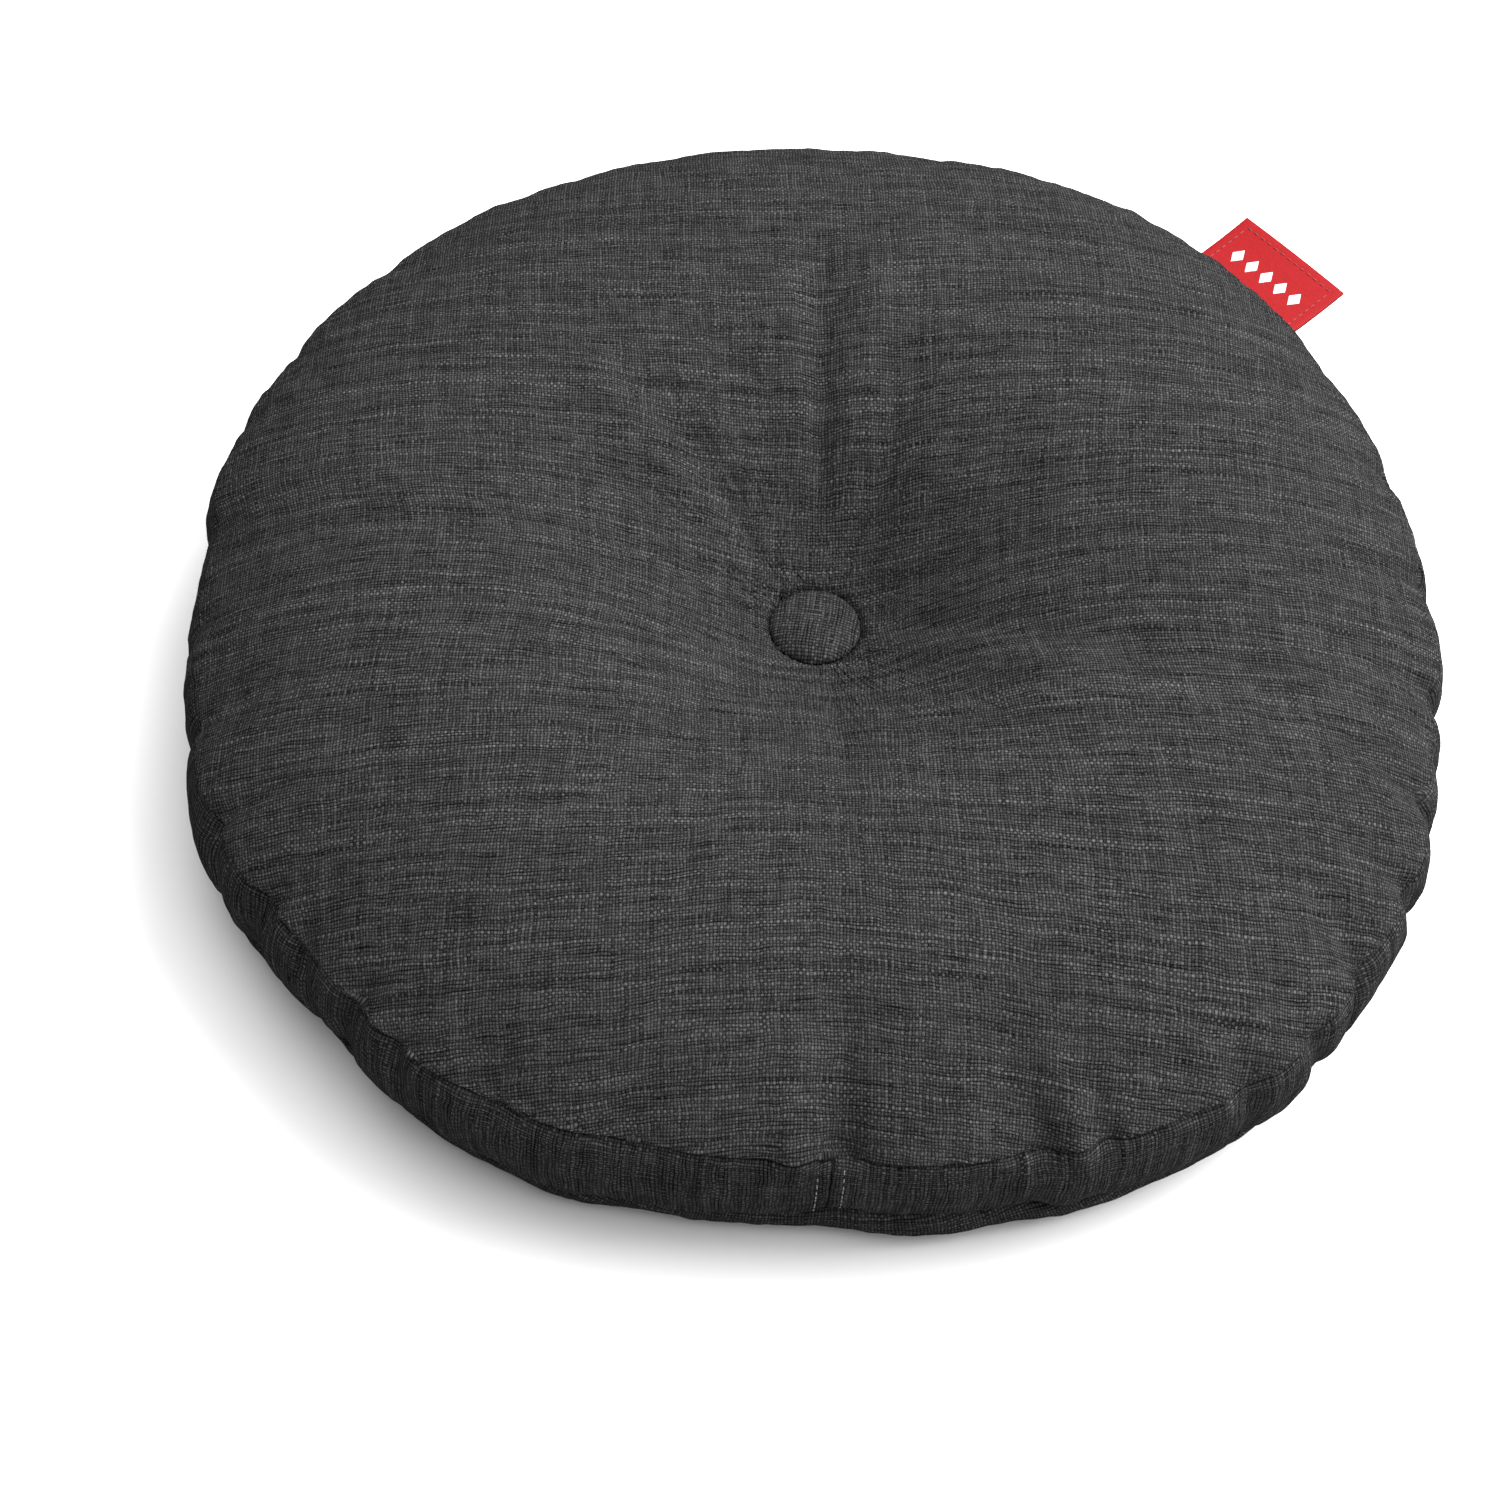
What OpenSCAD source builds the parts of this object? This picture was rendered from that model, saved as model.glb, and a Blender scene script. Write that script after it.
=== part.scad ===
// Round floor cushion. A crowned top panel and a bottom panel are sewn to an upright
// side band, a covered button is pulled into each face by one twine, and a zip closes
// the back of the band. Millimetres, +Z up, the floor at Z = 0, the middle of the
// cushion on the Z axis, the front at -Y and the zip at +Y.

/* [Cushion] */
// Diameter over the fullest part of the side band
overall_d = 500; // [400:10:700]
// Height of the bottom seam above the floor
bottom_seam_z = 24; // [18:1:40]
// Height of the side band from seam to seam
band_h = 50; // [42:1:90]
// How far the side band swells out past its seams
band_swell = 6; // [4:0.5:10]
// Height of the filled top above the top seam, before its button is pulled in
crown_rise = 40; // [25:1:60]
// Distance in from the bottom seam to the edge of the flat underside
floor_inset = 28; // [16:1:50]

/* [Cover cloth] */
// Thickness of the woven cover cloth
cloth_t = 1; // [0.8:0.1:1.2]
// Width of the cloth turned inwards at each seam
seam_allowance = 9; // [7:0.5:12]
// Thickness of the inner lining
liner_t = 0.4; // [0.3:0.1:0.8]
// Gap left between one layer of cloth and the next
layer_gap = 0.2; // [0.1:0.05:0.4]

/* [Tufting] */
// Diameter of each covered button
button_d = 36; // [28:1:45]
// Height of each covered button
button_h = 9; // [8:0.5:14]
// Height above the floor of the bottom panel at its button
bottom_seat_z = 16; // [15:1:24]
// Thickness to which the twine pulls the cushion in between its buttons
tuft_gap = 42; // [32:1:60]
// How far the hollow round the top button reaches out
top_tuft_reach = 62; // [40:1:80]
// How far the hollow round the bottom button reaches out
bottom_tuft_reach = 80; // [50:1:110]
// Radius of the hole in each panel for the button's loop
tuft_hole_r = 3.8; // [3.5:0.1:5]

/* [Front join] */
// Direction of the upright join in the band, counted round from +X
join_az = -84.5; // [-130:0.5:-40]
// Distance between the two rows of topstitching over the join
join_rows_gap = 9.3; // [6:0.1:14]
// Length of one stitch
stitch_len = 2.6; // [2:0.1:4]
// Space between two stitches
stitch_gap = 1.1; // [0.8:0.1:2]
// Thickness of the sewing thread
thread_d = 0.6; // [0.4:0.05:0.7]

/* [Label] */
// Direction of the middle of the label, counted round from +X
label_az = 48.1; // [20:0.1:80]
// Width of the label along the seam
label_w = 55; // [30:1:80]
// How far the label stands out from the seam
label_len = 34; // [15:1:45]
// Thickness of the label's folded tape
label_t = 1.6; // [1.4:0.1:1.8]
// Distance of the label's stitching from its edges
label_stitch_inset = 4; // [2:0.5:6]

/* [Zip] */
// Length of the zip's teeth
zip_len = 400; // [250:10:500]
// Length of the zip band past each end of the teeth
zip_end = 7; // [5:0.5:20]
// How far the zip band swells out past its seams
zip_swell = 4.4; // [3:0.2:6]
// Width of the opening between the zip band's two strips
zip_slot = 10; // [9.6:0.1:14]
// Width of one side's tape, from the middle of the zip
tape_w = 15; // [12:0.5:17]
// Thickness of the tape
tape_t = 0.6; // [0.4:0.1:0.8]
// Width of one side's coil of teeth
coil_w = 2.4; // [2:0.1:2.6]
// Thickness of the coil
coil_t = 2.4; // [2:0.1:2.6]
// Gap between the two coils, for the slider's post
coil_gap = 1.2; // [1:0.1:1.4]
// Length of each end stop along the zip
stop_len = 3; // [2:0.5:5]

/* [Zip slider] */
// Length of the slider along the zip
slider_len = 11; // [8:0.5:15]
// Width of the slider across the zip
slider_w = 8.4; // [8.2:0.1:9]
// Thickness of each of the slider's two plates
slider_plate_t = 1; // [0.8:0.1:1.2]
// Gap between the slider and what it runs on
slider_clear = 0.3; // [0.25:0.05:0.4]
// Radius of the pin that the pull turns on
pull_pin_r = 0.72; // [0.5:0.02:0.9]
// Radial clearance between the pin and the pull's eye
pull_pin_clear = 0.06; // [0.04:0.01:0.1]
// Wall of the pull's eye round its hole
pull_eye_wall = 0.8; // [0.6:0.1:1.2]
// Length of the pull from its pin
pull_len = 24; // [15:1:35]
// Width of the pull
pull_w = 3.6; // [3:0.1:4]
// Thickness of the pull
pull_t = 1.2; // [1:0.1:1.4]

/* [Hidden] */
$fn = 96;

// Colours
charcoal = [0.26, 0.26, 0.27];
black = [0.1, 0.1, 0.1];
label_red = [0.86, 0.12, 0.15];
dark_red = [0.5, 0.05, 0.08];
off_white = [0.93, 0.92, 0.89];
steel = [0.62, 0.63, 0.65];

// Seams and levels
seam_r = overall_d / 2 - band_swell;
top_seam_z = bottom_seam_z + band_h;
band_mid_z = bottom_seam_z + band_h / 2;
flange_r = seam_r - seam_allowance;
top_seat_z = bottom_seat_z + tuft_gap;
seat_r = button_d / 2 + 1;
floor_outer_r = seam_r - floor_inset;
floor_inner_r = seat_r + bottom_tuft_reach;

// Shape of the crown and the tuft, as powers
crown_fullness = 2.6;
crown_shoulder = 0.72;
tuft_power = 1.5;
// Steps along each curve
crown_steps = 28;
tuft_steps = 12;
band_steps = 12;
// Slope at which the bottom panel reaches its seam
lip_angle = 80;

// Sewing
seam_thread_r = seam_r - 3;
thread_groove_r = thread_d / 2 + 0.1;
thread_lift = 0.03;

// Zip
zip_slot_edge = zip_slot / 2;
tape_outset = 2 * cloth_t + layer_gap / 2;
chain_r = zip_r(zip_slot_edge) - tape_outset - tape_t / 2;
coil_edge = coil_gap / 2 + coil_w;
chain_half_a = arc_angle(zip_len / 2, chain_r);
stop_a = arc_angle(stop_len, chain_r);
strip_half_a = arc_angle(zip_len / 2 + zip_end, chain_r);
zip_az = 90;
slider_half_a = arc_angle(slider_len / 2, chain_r);
slider_az = zip_az + chain_half_a - slider_half_a - arc_angle(slider_clear, chain_r);
plate_outer_r = chain_r + coil_t / 2 + slider_clear;
plate_inner_r = chain_r - coil_t / 2 - slider_clear;
pull_eye_r = pull_pin_r + pull_pin_clear + pull_eye_wall;
pull_pin_x = plate_outer_r + slider_plate_t + slider_clear + pull_eye_r;
allowance_a = arc_angle(seam_allowance, seam_r);
zip_stitch_edge = zip_slot_edge + 3;

// Lining, kept inside the seam allowances and clear of the slider
liner_r = flange_r - layer_gap - liner_t;
liner_band_r = plate_inner_r - slider_plate_t - slider_clear;
liner_notch_z = band_h / 2 - cloth_t - layer_gap;

// Button and twine
button_r = button_d / 2;
shell_t = 0.6;
back_t = 0.8;
back_z = cloth_t + layer_gap;
back_r = button_r - cloth_t - shell_t - 0.8;
loop_r = 2.6;
loop_wire_r = 0.6;
loop_z = back_z - loop_r - loop_wire_r;
twine_r = 0.6;
twine_bend_r = 1.6;
bight_z = loop_z - loop_r + loop_wire_r + 0.1 - twine_bend_r + twine_r;
knot_r = 1.5;

function arc_angle(length, r) = length / r * 180 / PI;

// Outline curves, each a list of [radius, height] points going outwards
function crown(u) = pow(1 - pow(u, crown_fullness), crown_shoulder);
function top_z(r) =
    let (u = (r - seat_r) / (seam_r - seat_r))
    let (pull = exp(-pow((r - seat_r) / top_tuft_reach, tuft_power)) * (1 - u * u))
    top_seam_z + crown_rise * crown(u) - pull * (top_seam_z + crown_rise - top_seat_z);
top_curve = concat(
    [[tuft_hole_r, top_seat_z]],
    [
        for (i = [0:crown_steps])
            let (r = seat_r + (seam_r - seat_r) * sin(90 * i / crown_steps))
            [r, top_z(r)]
    ]
);
bottom_curve = concat(
    [[tuft_hole_r, bottom_seat_z]],
    [
        for (i = [0:tuft_steps])
            let (v = i / tuft_steps)
            [seat_r + bottom_tuft_reach * v, bottom_seat_z * (1 + cos(180 * v)) / 2]
    ],
    [
        for (i = [0:tuft_steps])
            let (a = lip_angle * i / tuft_steps)
            [
                floor_outer_r + floor_inset * sin(a) / sin(lip_angle),
                bottom_seam_z * (1 - cos(a)) / (1 - cos(lip_angle))
            ]
    ]
);
function swell_r(h, swell) = seam_r + swell * (1 - pow(2 * h / band_h, 2));
function zip_r(h) = swell_r(h, zip_swell);
// Band curves go down from height h1 to height h2, both counted from the band's middle
function band_curve(h1, h2, swell) = [
    for (i = [0:band_steps])
        let (h = h1 + (h2 - h1) * i / band_steps)
        [swell_r(h, swell), band_mid_z + h]
];

// A curve moved sideways by d, to the right of its direction of travel
function unit(v) = v / norm(v);
function travel(path, i) = unit(path[min(len(path) - 1, i + 1)] - path[max(0, i - 1)]);
function shifted(path, d) = [
    for (i = [0:len(path) - 1])
        let (t = travel(path, i))
        path[i] + d * [t[1], -t[0]]
];
function reversed(path) = [for (i = [len(path) - 1:-1:0]) path[i]];
function within(path, r) = [for (p = path) if (p[0] < r) p];
// The part of a curve inside radius r, ended exactly at r
function ended_at(path, r) = concat(within(path, r), [[r, lookup(r, path)]]);

module sector(from_az, to_az) {
    rotate([0, 0, from_az]) rotate_extrude(angle = to_az - from_az) children();
}

module over_band_middle() {
    translate([0, 0, 2 * band_mid_z]) mirror([0, 0, 1]) children();
}

// A ring of thread in the top or the bottom seam, and the outline of the groove for it
module seam_ring(z, r) {
    rotate_extrude() translate([seam_thread_r, z]) circle(r);
}

module seam_groove(z) {
    translate([seam_thread_r, z]) circle(thread_groove_r);
}

module label_slot() {
    // Starts further in by the rise of the round seam across the label's width
    inset = 1 + pow(label_w / 2 + layer_gap, 2) / (1.9 * flange_r);
    rotate([0, 0, label_az])
        translate([flange_r - inset, -label_w / 2 - layer_gap, top_seam_z - cloth_t - 0.1])
            cube([seam_allowance + inset + 2, label_w + 2 * layer_gap, 2 * cloth_t + 0.2]);
}

// ---- Cover panels ----

module top_panel() {
    inner = [
        for (p = shifted(top_curve, cloth_t))
            if (p[0] < flange_r || p[1] > top_seam_z + 1.2 * cloth_t) p
    ];
    color(charcoal) difference() {
        rotate_extrude() difference() {
            polygon(concat(
                top_curve,
                [[flange_r, top_seam_z], [flange_r, top_seam_z + cloth_t]],
                [[seam_r - 1.2 * cloth_t, top_seam_z + cloth_t]],
                reversed(inner)
            ));
            seam_groove(top_seam_z);
        }
        label_slot();
    }
}

module bottom_panel() {
    inner = [
        for (p = shifted(bottom_curve, -cloth_t))
            if (p[0] < flange_r || p[1] < bottom_seam_z - 1.2 * cloth_t) p
    ];
    color(charcoal) rotate_extrude() difference() {
        polygon(concat(
            bottom_curve,
            [[flange_r, bottom_seam_z], [flange_r, bottom_seam_z - cloth_t]],
            [[seam_r - 1.2 * cloth_t, bottom_seam_z - cloth_t]],
            reversed(inner)
        ));
        seam_groove(bottom_seam_z);
    }
}

// ---- Side band ----

module band_outline() {
    h = band_h / 2;
    outer = band_curve(h, -h, band_swell);
    inner = [
        for (p = shifted(outer, cloth_t))
            if (abs(p[1] - band_mid_z) < h - 1.2 * cloth_t) p
    ];
    difference() {
        polygon(concat(
            outer,
            [[flange_r, bottom_seam_z], [flange_r, bottom_seam_z + cloth_t]],
            [[seam_r - cloth_t, bottom_seam_z + cloth_t]],
            reversed(inner),
            [[seam_r - cloth_t, top_seam_z - cloth_t]],
            [[flange_r, top_seam_z - cloth_t], [flange_r, top_seam_z]]
        ));
        seam_groove(top_seam_z);
        seam_groove(bottom_seam_z);
    }
}

// Cloth pressed flat behind an upright join
module join_allowance_outline() {
    h = band_h / 2 - 3 * cloth_t;
    outer = shifted(band_curve(h, -h, band_swell), cloth_t - 0.01);
    polygon(concat(outer, reversed(shifted(outer, cloth_t))));
}

module band_piece(from_az, to_az) {
    color(charcoal) difference() {
        union() {
            sector(from_az, to_az) band_outline();
            sector(from_az, from_az + allowance_a) join_allowance_outline();
            sector(to_az - allowance_a, to_az) join_allowance_outline();
        }
        label_slot();
    }
}

module band_left() {
    band_piece(zip_az + strip_half_a, 360 + join_az);
}

module band_right() {
    band_piece(join_az, zip_az - strip_half_a);
}

module band_join_topstitching() {
    pitch = stitch_len + stitch_gap;
    rows = floor((band_h / 2 - 3) / pitch);
    color(steel) for (side = [-1, 1], i = [-rows:rows]) {
        h = i * pitch;
        lean = atan(8 * band_swell * h / (band_h * band_h));
        rotate([0, 0, join_az + side * arc_angle(join_rows_gap / 2, seam_r)])
            translate([swell_r(h, band_swell) + thread_d / 2 + thread_lift, 0, band_mid_z + h])
                rotate([0, -lean, 0])
                    cylinder(d = thread_d, h = stitch_len, center = true);
    }
}

module top_seam_thread() {
    color(black) seam_ring(top_seam_z, thread_d / 2);
}

module bottom_seam_thread() {
    color(black) seam_ring(bottom_seam_z, thread_d / 2);
}

// ---- Zip ----

// One strip of the zip band, with its edge folded back behind it
module zip_strip() {
    h = band_h / 2;
    outer = band_curve(h, zip_slot_edge, zip_swell);
    hem_outer = band_curve(tape_w, zip_slot_edge, zip_swell);
    inner = [
        for (p = shifted(outer, cloth_t))
            if (p[1] < top_seam_z - 1.2 * cloth_t && p[1] > band_mid_z + tape_w) p
    ];
    color(charcoal) sector(zip_az - strip_half_a, zip_az + strip_half_a) difference() {
        polygon(concat(
            outer,
            reversed(shifted(hem_outer, 2 * cloth_t)),
            [shifted(hem_outer, cloth_t)[0]],
            reversed(inner),
            [[seam_r - cloth_t, top_seam_z - cloth_t]],
            [[flange_r, top_seam_z - cloth_t], [flange_r, top_seam_z]]
        ));
        seam_groove(top_seam_z);
    }
}

module zip_strip_upper() {
    difference() {
        zip_strip();
        label_slot();
    }
}

module zip_strip_lower() {
    over_band_middle() zip_strip();
}

module zip_tape() {
    outer = shifted(band_curve(tape_w, coil_edge, zip_swell), tape_outset);
    color(black) sector(zip_az - strip_half_a, zip_az + strip_half_a) difference() {
        polygon(concat(outer, reversed(shifted(outer, tape_t))));
        translate([0, band_mid_z]) square([2 * chain_r, coil_edge]);
    }
}

module zip_tape_upper() {
    zip_tape();
}

module zip_tape_lower() {
    over_band_middle() zip_tape();
}

// The coil's outer shape, plain
module zip_coil() {
    color(black) sector(zip_az - chain_half_a, zip_az + chain_half_a)
        translate([chain_r - coil_t / 2, band_mid_z + coil_gap / 2]) square([coil_t, coil_w]);
}

module zip_coil_upper() {
    zip_coil();
}

module zip_coil_lower() {
    over_band_middle() zip_coil();
}

// A clip that holds both coils at one end of the zip
module zip_stop(from_az) {
    color(black) sector(from_az, from_az + stop_a)
        translate([chain_r - coil_t / 2, band_mid_z - coil_edge + 0.1])
            square([coil_t, 2 * coil_edge - 0.2]);
}

module zip_closed_stop() {
    zip_stop(zip_az + chain_half_a);
}

module zip_open_stop() {
    zip_stop(zip_az - chain_half_a - stop_a);
}

// Half of the slider's hollow section: a plate and the lip that holds the coil in
module slider_plate(plate_r, out) {
    lip_t = slider_w / 2 - coil_edge - slider_clear;
    lip_end_r = chain_r + out * (tape_t / 2 + slider_clear);
    translate([plate_r + (out - 1) / 2 * slider_plate_t, band_mid_z - slider_w / 2])
        square([slider_plate_t, slider_w]);
    for (side = [-1, 1])
        translate([min(plate_r, lip_end_r), band_mid_z + side * (slider_w - lip_t) / 2 - lip_t / 2])
            square([abs(plate_r - lip_end_r), lip_t]);
}

module zip_slider() {
    post_w = coil_gap - 0.4;
    post_len = 2.6;
    ear_t = 1;
    ear_x = plate_outer_r + slider_plate_t - 0.3;
    ear_z = pull_w / 2 + 0.2;
    color(steel) {
        sector(slider_az - slider_half_a, slider_az + slider_half_a) {
            slider_plate(plate_outer_r, 1);
            slider_plate(plate_inner_r, -1);
        }
        rotate([0, 0, slider_az]) {
            translate([plate_inner_r - 0.1, -post_len / 2, band_mid_z - post_w / 2])
                cube([plate_outer_r - plate_inner_r + 0.2, post_len, post_w]);
            for (side = [-1, 1])
                translate([ear_x, -pull_eye_r, band_mid_z + side * (ear_z + ear_t / 2) - ear_t / 2])
                    cube([pull_pin_x + pull_pin_r + 0.2 - ear_x, 2 * pull_eye_r, ear_t]);
            translate([pull_pin_x, 0, band_mid_z])
                cylinder(r = pull_pin_r, h = 2 * ear_z + ear_t, center = true);
        }
    }
}

module zip_pull() {
    eye_hole_r = pull_pin_r + pull_pin_clear;
    color(steel) rotate([0, 0, slider_az]) translate([pull_pin_x, 0, band_mid_z]) difference() {
        union() {
            cylinder(r = pull_eye_r, h = pull_w, center = true);
            translate([-pull_t / 2, -pull_len, -pull_w / 2]) cube([pull_t, pull_len, pull_w]);
        }
        cylinder(r = eye_hole_r, h = pull_w + 1, center = true);
        translate([0, -pull_len + 3, 0]) rotate([0, 90, 0])
            cylinder(r = 0.8, h = pull_t + 1, center = true);
    }
}

// Each row is drawn as one unbroken cord of thread
module zip_stitch_row() {
    sector(zip_az - chain_half_a, zip_az + chain_half_a)
        translate([zip_r(zip_stitch_edge) + thread_d / 2 + thread_lift, band_mid_z + zip_stitch_edge])
            circle(d = thread_d);
}

module zip_topstitching() {
    color(black) {
        zip_stitch_row();
        over_band_middle() zip_stitch_row();
    }
}

// ---- Label ----

module woven_label() {
    reach = label_len - label_t / 2;
    color(label_red) difference() {
        rotate([0, 0, label_az]) {
            translate([flange_r, -label_w / 2, top_seam_z - label_t / 2])
                cube([seam_allowance + reach, label_w, label_t]);
            translate([seam_r + reach, 0, top_seam_z]) rotate([90, 0, 0])
                cylinder(d = label_t, h = label_w, center = true);
        }
        seam_ring(top_seam_z, thread_groove_r);
    }
}

module label_stitch() {
    cylinder(d = thread_d, h = stitch_len, center = true);
}

module label_stitching() {
    pitch = stitch_len + stitch_gap;
    end_x = seam_r + label_len - label_stitch_inset;
    side_y = label_w / 2 - label_stitch_inset;
    across = floor(side_y / pitch);
    along = floor((label_len - 2 * label_stitch_inset) / pitch);
    face_z = label_t / 2 + thread_d / 2 + thread_lift;
    color(dark_red) rotate([0, 0, label_az]) for (face = [-1, 1]) {
        translate([0, 0, top_seam_z + face * face_z]) {
            for (i = [-across:across])
                translate([end_x, i * pitch, 0]) rotate([90, 0, 0]) label_stitch();
            for (side = [-1, 1], i = [1:along])
                translate([end_x - i * pitch, side * side_y, 0]) rotate([0, 90, 0]) label_stitch();
        }
    }
}

// ---- Buttons, each drawn upwards from the panel that it sits on ----

function dome(r, z, h) = [for (a = [0:7.5:90]) [r * cos(a), z + h * sin(a)]];

module button_cover() {
    inner_r = button_r - cloth_t;
    lip_r = button_r - 4;
    color(charcoal) rotate_extrude() polygon(concat(
        dome(button_r, 0, button_h),
        reversed(dome(inner_r, cloth_t, button_h - 2 * cloth_t)),
        [[lip_r, cloth_t], [lip_r, 0]]
    ));
}

module button_shell() {
    outer_r = button_r - cloth_t - layer_gap;
    outer_h = button_h - 2 * cloth_t - 2 * layer_gap;
    color(steel) rotate_extrude() polygon(concat(
        dome(outer_r, back_z, outer_h),
        reversed(dome(outer_r - shell_t, back_z, outer_h - shell_t))
    ));
}

module button_back() {
    color(steel) translate([0, 0, back_z]) cylinder(r = back_r, h = back_t);
}

module button_loop() {
    color(steel) translate([0, 0, loop_z]) rotate([90, 0, 0])
        rotate_extrude() translate([loop_r, 0]) circle(loop_wire_r);
}

module on_top_seat() {
    translate([0, 0, top_seat_z]) children();
}

module on_bottom_seat() {
    translate([0, 0, bottom_seat_z]) mirror([0, 0, 1]) children();
}

module top_button_cover() { on_top_seat() button_cover(); }
module top_button_shell() { on_top_seat() button_shell(); }
module top_button_back() { on_top_seat() button_back(); }
module top_button_loop() { on_top_seat() button_loop(); }
module bottom_button_cover() { on_bottom_seat() button_cover(); }
module bottom_button_shell() { on_bottom_seat() button_shell(); }
module bottom_button_back() { on_bottom_seat() button_back(); }
module bottom_button_loop() { on_bottom_seat() button_loop(); }

// The bend of the twine over a button's loop
module twine_bight() {
    translate([0, 0, bight_z]) rotate([90, 0, 90])
        rotate_extrude(angle = 180) translate([twine_bend_r, 0]) circle(twine_r);
}

module tufting_twine() {
    low_z = bottom_seat_z - bight_z;
    high_z = top_seat_z + bight_z;
    color(off_white) {
        on_top_seat() twine_bight();
        on_bottom_seat() twine_bight();
        for (side = [-1, 1])
            translate([0, side * twine_bend_r, low_z]) cylinder(r = twine_r, h = high_z - low_z);
        translate([0, -twine_bend_r, (low_z + high_z) / 2]) sphere(knot_r);
    }
}

// ---- Lining and filling ----

// The side of the lining moved in by d: straight past the seam allowances, full between
function liner_side(d) = concat(
    [[liner_r + liner_t - d, band_mid_z + liner_notch_z]],
    [
        for (i = [1:band_steps - 1])
            let (h = liner_notch_z * (1 - 2 * i / band_steps))
            let (bulge = liner_band_r - liner_r - liner_t)
            [
                liner_r + liner_t - d + bulge * (1 - pow(h / liner_notch_z, 2)),
                band_mid_z + h
            ]
    ],
    [[liner_r + liner_t - d, band_mid_z - liner_notch_z]]
);
liner_depth = cloth_t + layer_gap;
fill_depth = liner_depth + liner_t + layer_gap;

module liner_top() {
    color(off_white) rotate_extrude() polygon(concat(
        ended_at(shifted(top_curve, liner_depth), liner_r),
        reversed(ended_at(shifted(top_curve, liner_depth + liner_t), liner_r))
    ));
}

module liner_bottom() {
    color(off_white) rotate_extrude() polygon(concat(
        ended_at(shifted(bottom_curve, -liner_depth), liner_r),
        reversed(ended_at(shifted(bottom_curve, -liner_depth - liner_t), liner_r))
    ));
}

module liner_band() {
    outer_r = liner_r + liner_t;
    top_edge = shifted(top_curve, liner_depth);
    bottom_edge = shifted(bottom_curve, -liner_depth);
    color(off_white) rotate_extrude() polygon(concat(
        [[outer_r, lookup(outer_r, top_edge)]],
        liner_side(0),
        [[outer_r, lookup(outer_r, bottom_edge)], [liner_r, lookup(liner_r, bottom_edge)]],
        reversed(liner_side(liner_t)),
        [[liner_r, lookup(liner_r, top_edge)]]
    ));
}

module fibre_fill() {
    passage_r = tuft_hole_r + layer_gap;
    side_r = liner_r - layer_gap;
    color(off_white) rotate_extrude() difference() {
        polygon(concat(
            ended_at(shifted(top_curve, fill_depth), side_r),
            liner_side(liner_t + layer_gap),
            reversed(ended_at(shifted(bottom_curve, -fill_depth), side_r))
        ));
        square([passage_r, 4 * top_seam_z]);
    }
}

top_panel();
bottom_panel();
band_left();
band_right();
zip_strip_upper();
zip_strip_lower();
zip_tape_upper();
zip_tape_lower();
zip_coil_upper();
zip_coil_lower();
zip_closed_stop();
zip_open_stop();
zip_slider();
zip_pull();
zip_topstitching();
band_join_topstitching();
top_seam_thread();
bottom_seam_thread();
woven_label();
label_stitching();
top_button_cover();
top_button_shell();
top_button_back();
top_button_loop();
bottom_button_cover();
bottom_button_shell();
bottom_button_back();
bottom_button_loop();
tufting_twine();
liner_top();
liner_bottom();
liner_band();
fibre_fill();
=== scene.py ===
"""Round box cushion: woven cover blown up and tufted by cloth simulation, with its trims.

The cover is one net of cloth that is filled, pulled in at its two buttons and laid on the
floor. It is then cut along its seams into the panels, the band and the zip's strips, and each
of those stands for its own solid of the frame.
"""

import logging
import math
from dataclasses import dataclass, field
from enum import Enum
from typing import Sequence

import bmesh
import bpy
import numpy as np
from mathutils import Matrix, Vector
from mathutils.bvhtree import BVHTree


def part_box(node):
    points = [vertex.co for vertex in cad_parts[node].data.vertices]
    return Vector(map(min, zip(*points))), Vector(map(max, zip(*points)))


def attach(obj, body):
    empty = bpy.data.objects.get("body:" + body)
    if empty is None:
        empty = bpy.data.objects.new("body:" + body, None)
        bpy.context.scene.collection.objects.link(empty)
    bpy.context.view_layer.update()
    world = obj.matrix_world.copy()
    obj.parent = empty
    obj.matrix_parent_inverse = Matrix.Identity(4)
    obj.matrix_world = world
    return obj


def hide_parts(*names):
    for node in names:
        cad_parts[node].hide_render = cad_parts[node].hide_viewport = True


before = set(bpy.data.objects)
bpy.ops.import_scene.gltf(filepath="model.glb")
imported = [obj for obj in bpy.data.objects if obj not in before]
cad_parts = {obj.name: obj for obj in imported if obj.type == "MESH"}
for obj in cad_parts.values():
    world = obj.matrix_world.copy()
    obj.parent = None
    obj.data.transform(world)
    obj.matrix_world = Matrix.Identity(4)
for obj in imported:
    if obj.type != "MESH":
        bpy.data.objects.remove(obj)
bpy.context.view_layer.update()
LOG = logging.getLogger("cushion")
MM = 0.001
UV_NAME = "weave"
Socket = bpy.types.NodeSocket
Value = bpy.types.NodeSocket | float


# ---------------------------------------------------------------- small helpers


def smooth_step(x: np.ndarray | float) -> np.ndarray | float:
    """Rise smoothly from 0 at x = 0 to 1 at x = 1."""
    x = np.clip(x, 0.0, 1.0)
    return x * x * (3.0 - 2.0 * x)


def bell(x: np.ndarray | float) -> np.ndarray | float:
    """Fall smoothly from 1 at x = 0 on both sides."""
    return np.exp(-np.square(x))


def turn_between(az: np.ndarray | float, centre: float) -> np.ndarray | float:
    """Give the signed angle from centre to az, in degrees.

    Args:
        az: one direction or many, in degrees.
        centre: the direction to count from, in degrees.

    Returns:
        The angle, from -180 to 180.
    """
    return (np.asarray(az) - centre + 180.0) % 360.0 - 180.0


def box_of(node: str) -> tuple[Vector, Vector]:
    """Give a CAD node's lowest and highest corners."""
    low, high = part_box(node)
    return Vector(low), Vector(high)


def linked(name: str, data: bpy.types.ID) -> bpy.types.Object:
    """Make an object of a mesh, curve, light or camera and link it to the scene."""
    obj = bpy.data.objects.new(name, data)
    bpy.context.scene.collection.objects.link(obj)
    return obj


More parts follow.
